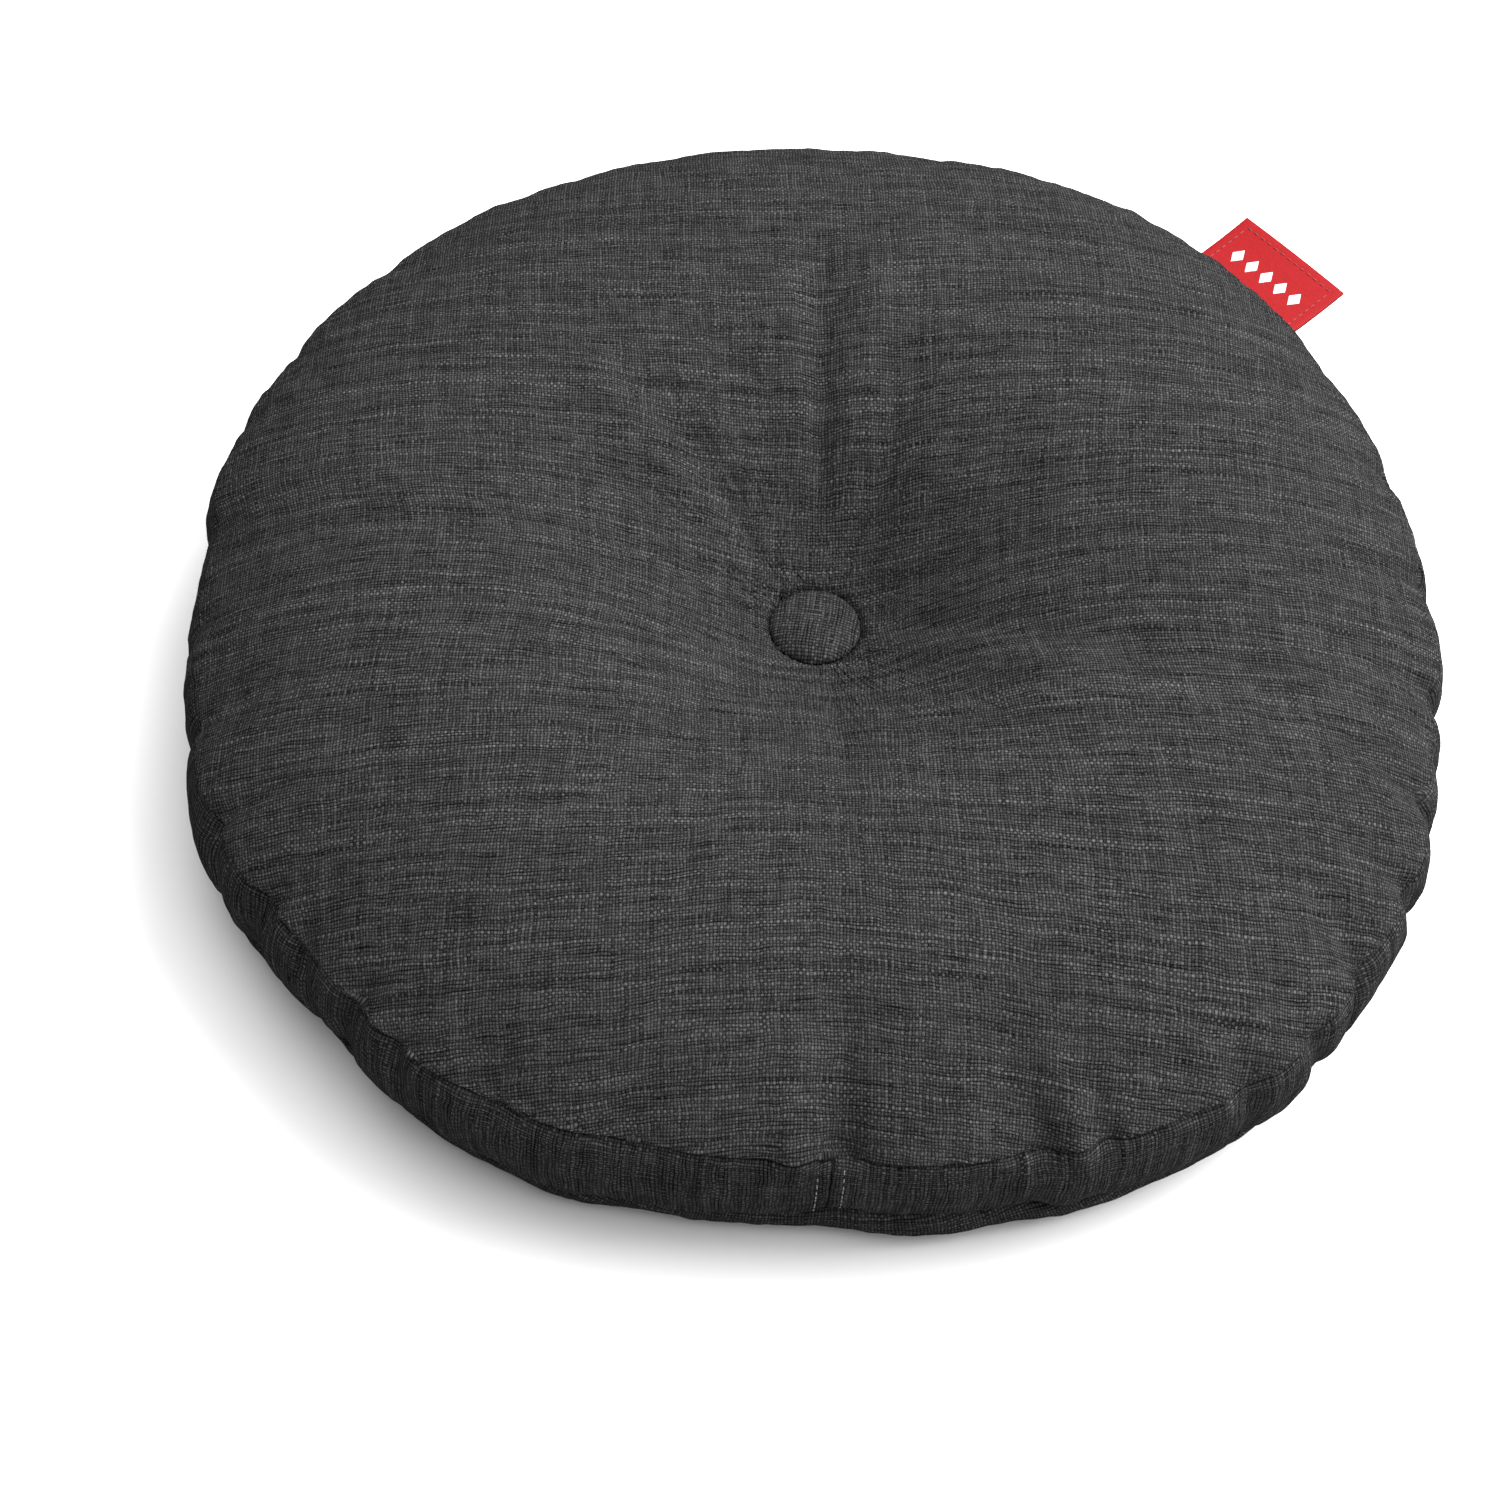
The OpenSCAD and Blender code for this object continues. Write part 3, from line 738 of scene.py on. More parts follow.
@dataclass
class CoverForm:
    """The filled cover's shape, worked out from the frame's seams and seats."""

    seam_thread_inset: float = 2.7 * MM
    crown_rise: float = 40 * MM
    tuft_reach: float = 62 * MM
    under_reach: float = 80 * MM
    floor_inset: float = 26 * MM
    swell: float = 6 * MM
    zip_swell: float = 4.4 * MM
    zip_slot: float = 10 * MM
    join_az: float = -84.4
    button_lip: float = 5.0 * MM
    lip_bulge: float = 6 * MM
    lip_angle: float = 80.0
    # The middle and width of the lip's bulge, in degrees
    bulge_az: float = -76.0
    bulge_width: float = 15.0
    # The middle, width and rise of the bottom seam's lifted front, and the two sags beside it
    front_lift: tuple[float, float, float] = (-77.0, 14.0, 7.0 * MM)
    side_sags: tuple[tuple[float, float], ...] = ((-135.0, 24.0), (-34.0, 22.0))
    side_drop: float = 4.0 * MM
    dome_fullness: float = 2.6
    dome_shoulder: float = 0.72
    tuft_power: float = 1.5
    # How wide the cloth's rise against the button is, and how far it fades
    button_rise: float = 3.6 * MM
    button_fade: float = 32 * MM
    seat_inset: float = 1.6 * MM
    hole_r: float = 3.8 * MM
    # How far the seams stand out from a circle: a direction in degrees, then the top and the
    # bottom seam in millimetres
    outline: tuple[tuple[float, float, float], ...] = (
        (-180, -6.0, -6.0),
        (-166, -2.0, -2.5),
        (-150, 7.0, 6.5),
        (-134, 6.0, 1.0),
        (-120, 12.0, 7.0),
        (-108, 11.0, 8.0),
        (-98, 6.0, 2.0),
        (-86, 4.0, -2.0),
        (-72, 9.5, 4.0),
        (-60, 17.0, 11.5),
        (-46, 21.5, 15.0),
        (-28, 13.0, 9.5),
        (-6, 0.5, -1.0),
        (14, -1.0, -2.0),
        (34, 2.0, 2.0),
        (48, 8.0, 8.0),
        (60, 9.5, 9.5),
        (74, 6.0, 6.0),
        (90, 0.0, 0.0),
        (138, 0.0, 0.0),
        (158, 0.5, 0.5),
        (172, -1.0, -1.5),
        (180, -6.0, -6.0),
    )
    folds: tuple[Fold, ...] = (
        Fold((94.0, 56 * MM), (95.0, 165 * MM), (4.5 * MM, 7 * MM), 3.0 * MM),
        Fold((58.0, 30 * MM), (77.0, 120 * MM), (12 * MM, 10 * MM), 3.0 * MM),
        Fold((82.0, 60 * MM), (86.0, 150 * MM), (9 * MM, 10 * MM), -2.2 * MM),
        Fold((102.0, 60 * MM), (101.0, 150 * MM), (8 * MM, 9 * MM), -1.6 * MM),
        Fold((134.0, 42 * MM), (132.5, 125 * MM), (8 * MM, 8 * MM), 3.2 * MM),
        Fold((145.0, 50 * MM), (140.5, 140 * MM), (9 * MM, 10 * MM), -2.6 * MM),
        Fold((-2.0, 32 * MM), (-13.0, 125 * MM), (8 * MM, 10 * MM), 3.4 * MM),
        Fold((-26.0, 40 * MM), (-24.0, 118 * MM), (12 * MM, 15 * MM), -3.4 * MM),
        Fold((-76.0, 34 * MM), (-80.0, 108 * MM), (6 * MM, 8 * MM), 1.8 * MM),
    )
    puckers: tuple[Pucker, ...] = (
        Pucker(-83.8, 2.0, 7.5 * MM, 44 * MM, 0.25),
        Pucker(-87.4, 2.0, -4.0 * MM, 26 * MM, 0.3),
        Pucker(-67.2, 1.5, 7.0 * MM, 30 * MM, 0.3),
        Pucker(-61.8, 1.2, 6.5 * MM, 24 * MM, 0.3),
        Pucker(-64.5, 1.2, -2.6 * MM, 22 * MM, 0.3),
        Pucker(-113.0, 2.2, 3.0 * MM, 28 * MM),
        Pucker(-149.5, 1.3, 5.9 * MM, 34 * MM, 1.5, 2.0),
        Pucker(-140.2, 1.3, 5.2 * MM, 14 * MM, 1.5, -3.0),
        Pucker(-135.1, 1.22, 3.8 * MM, 12 * MM, 1.5, 3.0),
        Pucker(-127.2, 1.3, 5.2 * MM, 14 * MM, 1.5, -3.0),
        Pucker(-122.7, 1.22, 3.4 * MM, 12 * MM, 1.5, 3.0),
        Pucker(-103.0, 2.2, 1.8 * MM, 10 * MM, 0.6),
        Pucker(-49.5, 1.22, 4.5 * MM, 14 * MM, 1.5, 2.0),
        Pucker(-41.8, 1.22, 4.8 * MM, 12 * MM, 1.5, 3.0),
        Pucker(-34.0, 1.22, 5.9 * MM, 18 * MM, 1.5, -3.0),
        Pucker(-25.0, 1.4, 5.6 * MM, 26 * MM, 1.5, 3.0),
        Pucker(-15.5, 1.5, 5.4 * MM, 34 * MM, 1.5, -2.0),
        Pucker(-4.0, 1.4, 5.2 * MM, 32 * MM, 1.5, 2.0),
        Pucker(9.0, 1.44, 4.1 * MM, 20 * MM, 1.5, -2.0),
        Pucker(22.0, 1.44, 3.8 * MM, 18 * MM, 1.5, 2.0),
        Pucker(141.0, 1.5, 1.8 * MM, 16 * MM, 1.5, 2.0),
        Pucker(154.9, 1.5, 2.2 * MM, 18 * MM, 1.5, -2.0),
        Pucker(164.5, 1.5, 2.2 * MM, 18 * MM, 1.5, 2.0),
        Pucker(177.0, 1.6, 2.2 * MM, 18 * MM, 1.5, -2.0),
        Pucker(-171.0, 1.5, 2.6 * MM, 18 * MM, 1.5, 2.0),
        Pucker(-160.0, 1.4, 3.0 * MM, 20 * MM, 1.5, -2.0),
    )

    def __post_init__(self) -> None:
        """Read the seams, seats and zip from the frame."""
        low, high = box_of("top_seam_thread")
        self.top_z = (low.z + high.z) / 2
        self.seam_r = high.x + self.seam_thread_inset
        low, high = box_of("bottom_seam_thread")
        self.bottom_z = (low.z + high.z) / 2
        low, high = box_of("top_button_cover")
        self.seat_top_z = low.z
        self.button_r = high.x
        self.seat_bottom_z = box_of("bottom_button_cover")[1].z
        self.seat_r = self.button_r - self.seat_inset
        self.mid_z = (self.top_z + self.bottom_z) / 2
        self.half_h = (self.top_z - self.bottom_z) / 2
        low, high = box_of("zip_strip_upper")
        ends = self.seam_r + self.zip_swell
        self.zip_half = math.degrees(math.asin(min(1.0, high.x / ends)))

    def zip_share(self, az: np.ndarray) -> np.ndarray:
        """Give 1 where the band holds the zip and 0 elsewhere, with soft ends."""
        inside = self.zip_half + 4.0 - np.abs(turn_between(az, 90.0))
        return smooth_step(inside / 4.0)

    def stand_out(self, az: np.ndarray, seam: int) -> np.ndarray:
        """Give how far a seam stands out from its circle.

        Args:
            az: the directions in degrees.
            seam: 1 for the top seam and 2 for the bottom one.

        Returns:
            Distances in metres.
        """
        table = np.array(self.outline)
        number = np.clip(np.searchsorted(table[:, 0], az, side="right") - 1, 0, len(table) - 2)
        way = (az - table[number, 0]) / (table[number + 1, 0] - table[number, 0])
        rise = table[number + 1, seam] - table[number, seam]
        return (table[number, seam] + rise * smooth_step(way)) * MM

    def seam_radius(self, az: np.ndarray) -> np.ndarray:
        """Give the top seam's distance from the buttons in each direction, in metres."""
        return self.seam_r + self.stand_out(az, 1)

    def low_seam_radius(self, az: np.ndarray) -> np.ndarray:
        """Give the bottom seam's distance, which isn't changed behind the zip."""
        return self.seam_r + (self.stand_out(az, 2) - 1.5 * MM) * (1.0 - self.zip_share(az))

    def seam_lift(self, az: np.ndarray) -> np.ndarray:
        """Give how far the bottom seam stands above its level in the frame."""
        middle, width, rise = self.front_lift
        front = bell(turn_between(az, middle) / width) * rise
        sides = sum(bell(turn_between(az, middle) / width) for middle, width in self.side_sags)
        return (front - sides * self.side_drop) * (1.0 - self.zip_share(az))

    def top_height(self, share: np.ndarray, radius: np.ndarray, az: np.ndarray) -> np.ndarray:
        """Give the crown's height.

        Args:
            share: the way from the seat's edge to the seam, from 0 to 1.
            radius: the distance from the button's middle, in metres.
            az: the directions in degrees.

        Returns:
            Heights above the floor, in metres, without the folds.
        """
        fall = np.clip(1.0 - np.power(share, self.dome_fullness), 0.0, 1.0)
        dome = np.power(fall, self.dome_shoulder)
        out = np.maximum(radius - self.seat_r, 0.0)
        reach = self.tuft_reach * (1.0 - 0.12 * bell(turn_between(az, 62.0) / 32.0))
        pull = np.exp(-np.power(out / reach, self.tuft_power)) * (1.0 - share * share)
        lip = self.button_lip * smooth_step(out / self.button_rise) * np.exp(-out / self.button_fade)
        full = self.top_z + self.crown_rise
        return self.top_z + self.crown_rise * dome - pull * (full - self.seat_top_z) + lip


@dataclass
class Ring:
    """One ring of the cloth net: which panel it lies on, and its place along the panel."""

    zone: str
    share: float
    cut: float = 0.0


@dataclass
class Cover:
    """The sewn cover: made as one net, filled by a cloth simulation, then cut at its seams."""

    form: CoverForm
    finishes: Finishes
    columns: int = 450
    frames: int = 24
    pressure: float = 3.2
    cap: float = 11 * MM
    weave_turn: float = 5.3
    cloth_t: float = 0.9 * MM
    allowance: float = 6 * MM
    hem: float = 9.5 * MM
    crease: float = 1.6 * MM
    fine_puckers: int = 90
    # How firmly the seams are pinned, and how much spare cloth each part has
    seam_hold: float = 0.22
    seam_ease: float = 0.2
    band_ease: float = 0.75
    lip_ease: float = 0.7
    rings: list[Ring] = field(default_factory=list)

    def lay_rings(self) -> None:
        """List the net's rings from the top button to the bottom one."""
        f = self.form
        seat = [Ring("top_seat", r) for r in (f.hole_r, 10 * MM, 16 * MM)]
        count = 46
        top = [Ring("top", share) for share in (0.0, 0.005, 0.011, 0.018)]
        top += [Ring("top", math.sin(math.pi / 2 * (k / count) ** 1.05)) for k in range(1, count + 1)]
        heights = (0.86, 0.72, 0.58, 0.44, 0.3, f.zip_slot / 2 / f.half_h)
        band = [Ring("band", h) for h in heights] + [Ring("band", 0.0)]
        band += [Ring("band", -h) for h in reversed(heights)]
        lip = [Ring("lip", 1 - k / 12) for k in range(13)]
        flat = [Ring("flat", 1 - k / 9) for k in range(1, 9)]
        under = [Ring("under", 1 - k / 13) for k in range(14)]
        base = [Ring("bottom_seat", r) for r in (16 * MM, 10 * MM, f.hole_r)]
        self.rings = seat + top + band + lip + flat + under + base
        self.seam_ring = len(seat) + len(top) - 1
        self.low_seam_ring = self.seam_ring + len(band) + 1

    def place(self, ring: Ring, az: np.ndarray) -> np.ndarray:
        """Give where a ring's points lie in the filled cover.

        Args:
            ring: the ring.
            az: the points' directions in degrees.

        Returns:
            An array of points, in metres.
        """
        f, rad = self.form, np.radians(az)
        seam, low_seam = f.seam_radius(az), f.low_seam_radius(az)
        low_z = f.bottom_z + f.seam_lift(az)
        if ring.zone == "top_seat":
            radius, z = np.full_like(az, ring.share), np.full_like(az, f.seat_top_z)
        elif ring.zone == "top":
            radius = f.seat_r + (seam - f.seat_r) * ring.share
            z = f.top_height(np.full_like(az, ring.share), radius, az)
            x, y = radius * np.cos(rad), radius * np.sin(rad)
            hold = (1.0 - ring.share**14) * smooth_step((radius - f.seat_r) / (14 * MM))
            for fold in f.folds:
                z = z - fold.drop(x, y) * hold
        elif ring.zone == "band":
            share = f.zip_share(az)
            full = f.swell * 0.8 * (1 - share) + f.zip_swell * share
            way = (ring.share + 1) / 2
            open_side = low_seam + (seam - low_seam) * way
            held = f.seam_r + (seam - f.seam_r) * smooth_step((ring.share - 0.4) / 0.6)
            radius = open_side * (1 - share) + held * share + full * (1 - ring.share**2)
            z = low_z + (f.top_z - low_z) * way
        elif ring.zone == "lip":
            whole = math.radians(f.lip_angle)
            turn = whole * ring.share
            inner = low_seam - f.floor_inset
            bulge = f.lip_bulge * math.sin(math.pi * ring.share)
            radius = inner + (low_seam - inner) * math.sin(turn) / math.sin(whole)
            z = low_z * (1 - math.cos(turn)) / (1 - math.cos(whole))
            radius = radius + bulge * bell(turn_between(az, f.bulge_az) / f.bulge_width)
        elif ring.zone == "flat":
            inner = f.seat_r + f.under_reach
            radius = inner + (low_seam - f.floor_inset - inner) * ring.share
            z = np.zeros_like(az)
        elif ring.zone == "under":
            radius = np.full_like(az, f.seat_r + f.under_reach * ring.share)
            z = np.full_like(az, f.seat_bottom_z * (1 + math.cos(math.pi * ring.share)) / 2)
        else:
            radius, z = np.full_like(az, ring.share), np.full_like(az, f.seat_bottom_z)
        return np.stack([radius * np.cos(rad), radius * np.sin(rad), z], axis=1)

    def snapped(self, az: np.ndarray) -> np.ndarray:
        """Move the net's columns so that one lies on each upright join.

        Args:
            az: evenly spread directions, in degrees from -180 to 180.

        Returns:
            The directions with the nearest columns on the joins.
        """
        f, step = self.form, 360.0 / self.columns
        joins = sorted([f.join_az, 90 - f.zip_half, 90 + f.zip_half])
        near = [round(j / step) * step for j in joins]
        return np.interp(az, [-180.0, *near, 180.0], [-180.0, *joins, 180.0])

    def spun_net(self) -> tuple[bpy.types.Object, np.ndarray, np.ndarray]:
        """Spin the outline into the cloth net and move it to the filled shape.

        Returns:
            The net's object, the ring number of each vertex and its direction.
        """
        at_zero = [self.place(r, np.array([0.0]))[0] for r in self.rings]
        bm = spun(at_zero, self.columns, 1e-6)
        co = np.array([v.co for v in bm.verts])
        mark = np.array([[math.hypot(p[0], p[1]), p[2]] for p in at_zero])
        here = np.stack([np.hypot(co[:, 0], co[:, 1]), co[:, 2]], axis=1)
        ring = np.argmin(((here[:, None] - mark[None]) ** 2).sum(2), axis=1)
        az = self.snapped(np.degrees(np.arctan2(co[:, 1], co[:, 0])))
        for number, kind in enumerate(self.rings):
            chosen = ring == number
            co[chosen] = self.place(kind, az[chosen])
        for vert, point in zip(bm.verts, co):
            vert.co = point
        self.measure_cut(co, ring, az)
        self.mark_cloth(bm, ring, az)
        return object_from(bm, "cover_net"), ring, az

    def measure_cut(self, co: np.ndarray, ring: np.ndarray, az: np.ndarray) -> None:
        """Find each ring's distance from its panel's middle on the flat cloth."""
        mean = np.array(
            [[np.hypot(co[ring == k, 0], co[ring == k, 1]).mean(), co[ring == k, 2].mean()]
             for k in range(len(self.rings))]
        )
        step = np.hypot(*(mean[1:] - mean[:-1]).T)
        along = np.concatenate([[0.0], np.cumsum(step)])
        for number, kind in enumerate(self.rings):
            if number <= self.seam_ring:
                kind.cut = along[number] + self.form.hole_r
            elif number < self.low_seam_ring:
                kind.cut = along[number] - along[self.seam_ring]
            else:
                kind.cut = along[-1] - along[number] + self.form.hole_r
        self.band_cut = along[self.low_seam_ring] - along[self.seam_ring]

    def patch_of(self, ring: float, az: float) -> Patch:
        """Say which cut piece a face belongs to.

        Args:
            ring: the mean of its corners' ring numbers.
            az: its direction in degrees.

        Returns:
            The patch.
        """
        f = self.form
        if ring < self.seam_ring:
            return Patch.TOP
        if ring > self.low_seam_ring:
            return Patch.BOTTOM
        if abs(turn_between(az, 90.0)) > f.zip_half:
            return Patch.BAND_RIGHT if turn_between(az, f.join_az) > 0 else Patch.BAND_LEFT
        mid = (self.seam_ring + self.low_seam_ring) / 2
        if ring < mid - 1:
            return Patch.ZIP_UPPER
        return Patch.ZIP_LOWER if ring > mid + 1 else Patch.ZIP_SLOT

    def mark_cloth(self, bm: bmesh.types.BMesh, ring: np.ndarray, az: np.ndarray) -> None:
        """Write each face's patch, and its place on the flat cloth as a UV map."""
        f = self.form
        uv = bm.loops.layers.uv.new(UV_NAME)
        bm.verts.ensure_lookup_table()
        turn = math.radians(-self.weave_turn)
        middle = {Patch.BAND_LEFT: 208.0, Patch.BAND_RIGHT: -23.0}
        for face in bm.faces:
            numbers = [v.index for v in face.verts]
            centre = face.calc_center_median()
            here = math.degrees(math.atan2(centre.y, centre.x))
            patch = self.patch_of(float(np.mean(ring[numbers])), here)
            face.material_index = patch.value
            for loop in face.loops:
                index = loop.vert.index
                kind, direction = self.rings[ring[index]], az[index]
                if patch in (Patch.TOP, Patch.BOTTOM):
                    cut = kind.cut if patch is Patch.TOP or kind.zone != "band" else 0.0
                    if patch is Patch.BOTTOM and ring[index] == self.low_seam_ring:
                        cut = kind.cut
                    angle = math.radians(direction) + turn
                    loop[uv].uv = (cut * math.cos(angle), cut * math.sin(angle))
                else:
                    away = turn_between(direction, middle.get(patch, 90.0))
                    down = kind.cut
                    if ring[index] == self.seam_ring:
                        down = 0.0
                    elif ring[index] == self.low_seam_ring:
                        down = self.band_cut
                    loop[uv].uv = (down + patch.value * 0.13, math.radians(float(away)) * f.seam_r)

    def weights(self, net: bpy.types.Object, ring: np.ndarray, az: np.ndarray) -> None:
        """Give the net its pin and ease groups.

        Args:
            net: the cloth net.
            ring: each vertex's ring number.
            az: each vertex's direction in degrees.
        """
        f = self.form
        pin, ease = net.vertex_groups.new(name="pin"), net.vertex_groups.new(name="ease")
        zone = np.array([self.rings[k].zone for k in ring])
        share = np.array([self.rings[k].share for k in ring])
        held = np.zeros(len(ring))
        held[np.isin(zone, ["top_seat", "bottom_seat", "flat"])] = 1.0
        held[(zone == "top") & (share == 0.0)] = 1.0
        held[(zone == "under") & ((share == 0.0) | (share > 0.8))] = 1.0
        held[ring == self.seam_ring] = self.seam_hold
        held[ring == self.low_seam_ring] = self.seam_hold
        zip_share = f.zip_share(az)
        near_zip = (zone == "band") & (np.abs(share) <= 0.6)
        held[near_zip] = np.maximum(held[near_zip], zip_share[near_zip])
        at_seam = (ring == self.seam_ring) | (ring == self.low_seam_ring)
        held[at_seam] = np.maximum(held[at_seam], zip_share[at_seam] * 0.8)
        loose = np.zeros(len(ring))
        top = zone == "top"
        loose[top] = 0.25 + 0.75 * smooth_step((share[top] - 0.6) / 0.35)
        loose[top] = np.maximum(loose[top], 0.9 * (1 - smooth_step(share[top] / 0.35)))
        loose[zone == "band"] = self.band_ease
        loose[zone == "lip"] = self.lip_ease
        loose[at_seam] = self.seam_ease
        for index in range(len(ring)):
            if held[index] > 0:
                pin.add([index], float(held[index]), "REPLACE")
            ease.add([index], float(loose[index]), "REPLACE")

    def fill(self, net: bpy.types.Object, start: np.ndarray) -> np.ndarray:
        """Blow the net up against its pins and give the points that it settles at.

        Args:
            net: the cloth net, with its groups.
            start: the points before filling.

        Returns:
            The settled points, none moved further than the cap.
        """
        cloth = net.modifiers.new("cloth", "CLOTH")
        s = cloth.settings
        s.quality = 5
        s.mass = 0.25
        s.air_damping = 2.0
        s.tension_stiffness = s.compression_stiffness = 14.0
        s.shear_stiffness = 5.0
        s.bending_stiffness = 0.9
        s.tension_damping = s.compression_damping = s.shear_damping = 6.0
        s.vertex_group_mass = "pin"
        s.pin_stiffness = 1.0
        s.vertex_group_shrink = "ease"
        s.shrink_min = 0.0
        s.shrink_max = -0.045
        s.use_pressure = True
        s.uniform_pressure_force = self.pressure
        s.effector_weights.gravity = 0.0
        cloth.collision_settings.use_collision = False
        cloth.point_cache.frame_start = 1
        cloth.point_cache.frame_end = self.frames
        scene = bpy.context.scene
        for number in range(1, self.frames + 1):
            scene.frame_set(number)
        settled = net.evaluated_get(bpy.context.evaluated_depsgraph_get())
        found = np.zeros(len(start) * 3)
        settled.data.vertices.foreach_get("co", found)
        net.modifiers.remove(cloth)
        scene.frame_set(1)
        move = found.reshape(-1, 3) - start
        size = np.linalg.norm(move, axis=1, keepdims=True)
        LOG.info("filling moved the cloth by up to %.1f mm", float(size.max()) / MM)
        return start + move * np.minimum(1.0, self.cap / np.maximum(size, 1e-9))

    def shape(self) -> None:
        """Make the net, fill it and keep the settled points."""
        self.lay_rings()
        net, ring, az = self.spun_net()
        start = np.zeros(len(ring) * 3)
        net.data.vertices.foreach_get("co", start)
        start = start.reshape(-1, 3)
        settled = start
        rng = np.random.default_rng(11)
        self.weights(net, ring, az)
        loose = ring != 0
        jitter = rng.normal(0.0, 0.25 * MM, start.shape) * loose[:, None]
        net.data.vertices.foreach_set("co", (start + jitter).ravel())
        settled = self.fill(net, start)
        net.data.vertices.foreach_set("co", settled.ravel())
        net.data.update()
        settled = self.gathered(net, ring, az, settled)
        settled[:, 2] = np.maximum(settled[:, 2], 0.3 * MM)
        net.data.vertices.foreach_set("co", settled.ravel())
        net.data.update()
        self.net, self.ring, self.az, self.points = net, ring, az, settled
        self.surface = BVHTree.FromPolygons(
            [Vector(p) for p in settled], [tuple(f.vertices) for f in net.data.polygons]
        )

    def gathered(
        self, net: bpy.types.Object, ring: np.ndarray, az: np.ndarray, settled: np.ndarray
    ) -> np.ndarray:
        """Press the seams' gathers into the filled cover.

        Args:
            net: the cloth net, holding the settled points.
            ring: each vertex's ring number.
            az: each vertex's direction in degrees.
            settled: the settled points.

        Returns:
            The points with their gathers.
        """
        f = self.form
        normals = np.zeros(len(ring) * 3)
        net.data.vertices.foreach_get("normal", normals)
        normals = normals.reshape(-1, 3)
        zone = np.array([self.rings[k].zone for k in ring])
        share = np.array([self.rings[k].share for k in ring])
        cut = np.array([self.rings[k].cut for k in ring])
        top, band, lip = zone == "top", zone == "band", zone == "lip"
        at_top, at_low = ring == self.seam_ring, ring == self.low_seam_ring
        share = np.where(at_top, 1.0, np.where(at_low & ~band, 1.0, share))
        rng = np.random.default_rng(23)
        ranges = ((-180, 180), (1.2, 2.2), (-0.9, 1.2), (8, 20))
        drawn = [rng.uniform(low, high, self.fine_puckers) for low, high in ranges]
        fine = [Pucker(a, w, d * MM, u * MM, 0.35) for a, w, d, u in zip(*drawn)]
        panel_gap = self.rings[self.seam_ring].cut - cut
        lip_gap = np.abs(self.rings[self.low_seam_ring].cut - cut)
        depth = np.zeros(len(ring))
        free = 1.0 - f.zip_share(az)
        for pucker in (*f.puckers, *fine):
            depth[top] += pucker.on_panel(az[top], panel_gap[top])
            depth[band] += pucker.on_band(az[band], share[band]) * free[band]
            on_lip = pucker.on_panel(az[lip], lip_gap[lip] * 2.0)
            depth[lip] += 0.7 * min(pucker.down, 1.0) * on_lip * free[lip]
        points = settled - normals * depth[:, None]
        out = np.stack([np.cos(np.radians(az)), np.sin(np.radians(az)), np.zeros(len(az))], axis=1)
        crease = np.where(at_top, self.crease, 0.0) + np.where(at_low, self.crease * free, 0.0)
        return points - out * crease[:, None]

    def cut_out(self, patch: Patch, name: str) -> bpy.types.Object:
        """Cut one patch out of the net and turn its edges in at the seams.

        Args:
            patch: the patch to keep.
            name: the piece's name.

        Returns:
            The new piece, of single cloth.
        """
        bm = bmesh.new()
        bm.from_mesh(self.net.data)
        others = [face for face in bm.faces if face.material_index != patch.value]
        bmesh.ops.delete(bm, geom=others, context="FACES")
        rim = [
            e for e in bm.edges if e.is_boundary and math.hypot(*e.verts[0].co.xy) > 3 * self.form.seat_r
        ]
        upright = [e for e in rim if abs(e.verts[0].co.z - e.verts[1].co.z) > 2.2 * MM]
        level = [e for e in rim if e not in set(upright)]
        slot_z = self.form.zip_slot / 2 + 1 * MM
        on_zip = patch in (Patch.ZIP_UPPER, Patch.ZIP_LOWER)
        hem = [e for e in level if on_zip and abs(e.verts[0].co.z - self.form.mid_z) < slot_z]
        seams = [e for e in level if e not in set(hem)]
        inward = {Patch.TOP: 1.0, Patch.BOTTOM: -1.0}
        self.turn_in(bm, seams, self.allowance, inward.get(patch))
        self.turn_in(bm, upright, 3 * MM, 0.0)
        self.fold_back(bm, hem)
        bm.normal_update()
        for face in bm.faces:
            face.material_index = 0
        return object_from(bm, name)

    def turn_in(
        self, bm: bmesh.types.BMesh, edges: list[bmesh.types.BMEdge], depth: float, lean: float | None
    ) -> None:
        """Turn a strip of cloth inwards along a seam.

        Args:
            bm: the piece.
            edges: its edges along the seam.
            depth: how far the strip reaches in.
            lean: how far its inner edge rises, in millimetres; None leans to the band's middle.
        """
        if not edges:
            return
        for vert in self.extruded(bm, edges):
            out = Vector((vert.co.x, vert.co.y, 0)).normalized()
            rise = lean if lean is not None else (1.0 if vert.co.z < self.form.mid_z else -1.0)
            vert.co -= out * depth
            vert.co.z += rise * MM

    def fold_back(self, bm: bmesh.types.BMesh, edges: list[bmesh.types.BMEdge]) -> None:
        """Fold a zip strip's edge back behind it, over the tape."""
        if not edges:
            return
        first = self.extruded(bm, edges)
        for vert in first:
            vert.co -= Vector((vert.co.x, vert.co.y, 0)).normalized() * 2.1 * self.cloth_t
        ends = set(first)
        again = [e for e in bm.edges if e.is_boundary and e.verts[0] in ends and e.verts[1] in ends]
        f = self.form
        for vert in self.extruded(bm, again):
            up = 1.0 if vert.co.z > f.mid_z else -1.0
            vert.co.z += up * self.hem
            share = (vert.co.z - f.mid_z) / f.half_h
            radius = f.seam_r + f.zip_swell * (1 - share * share) - 2.1 * self.cloth_t
            vert.co.xy = vert.co.xy.normalized() * radius

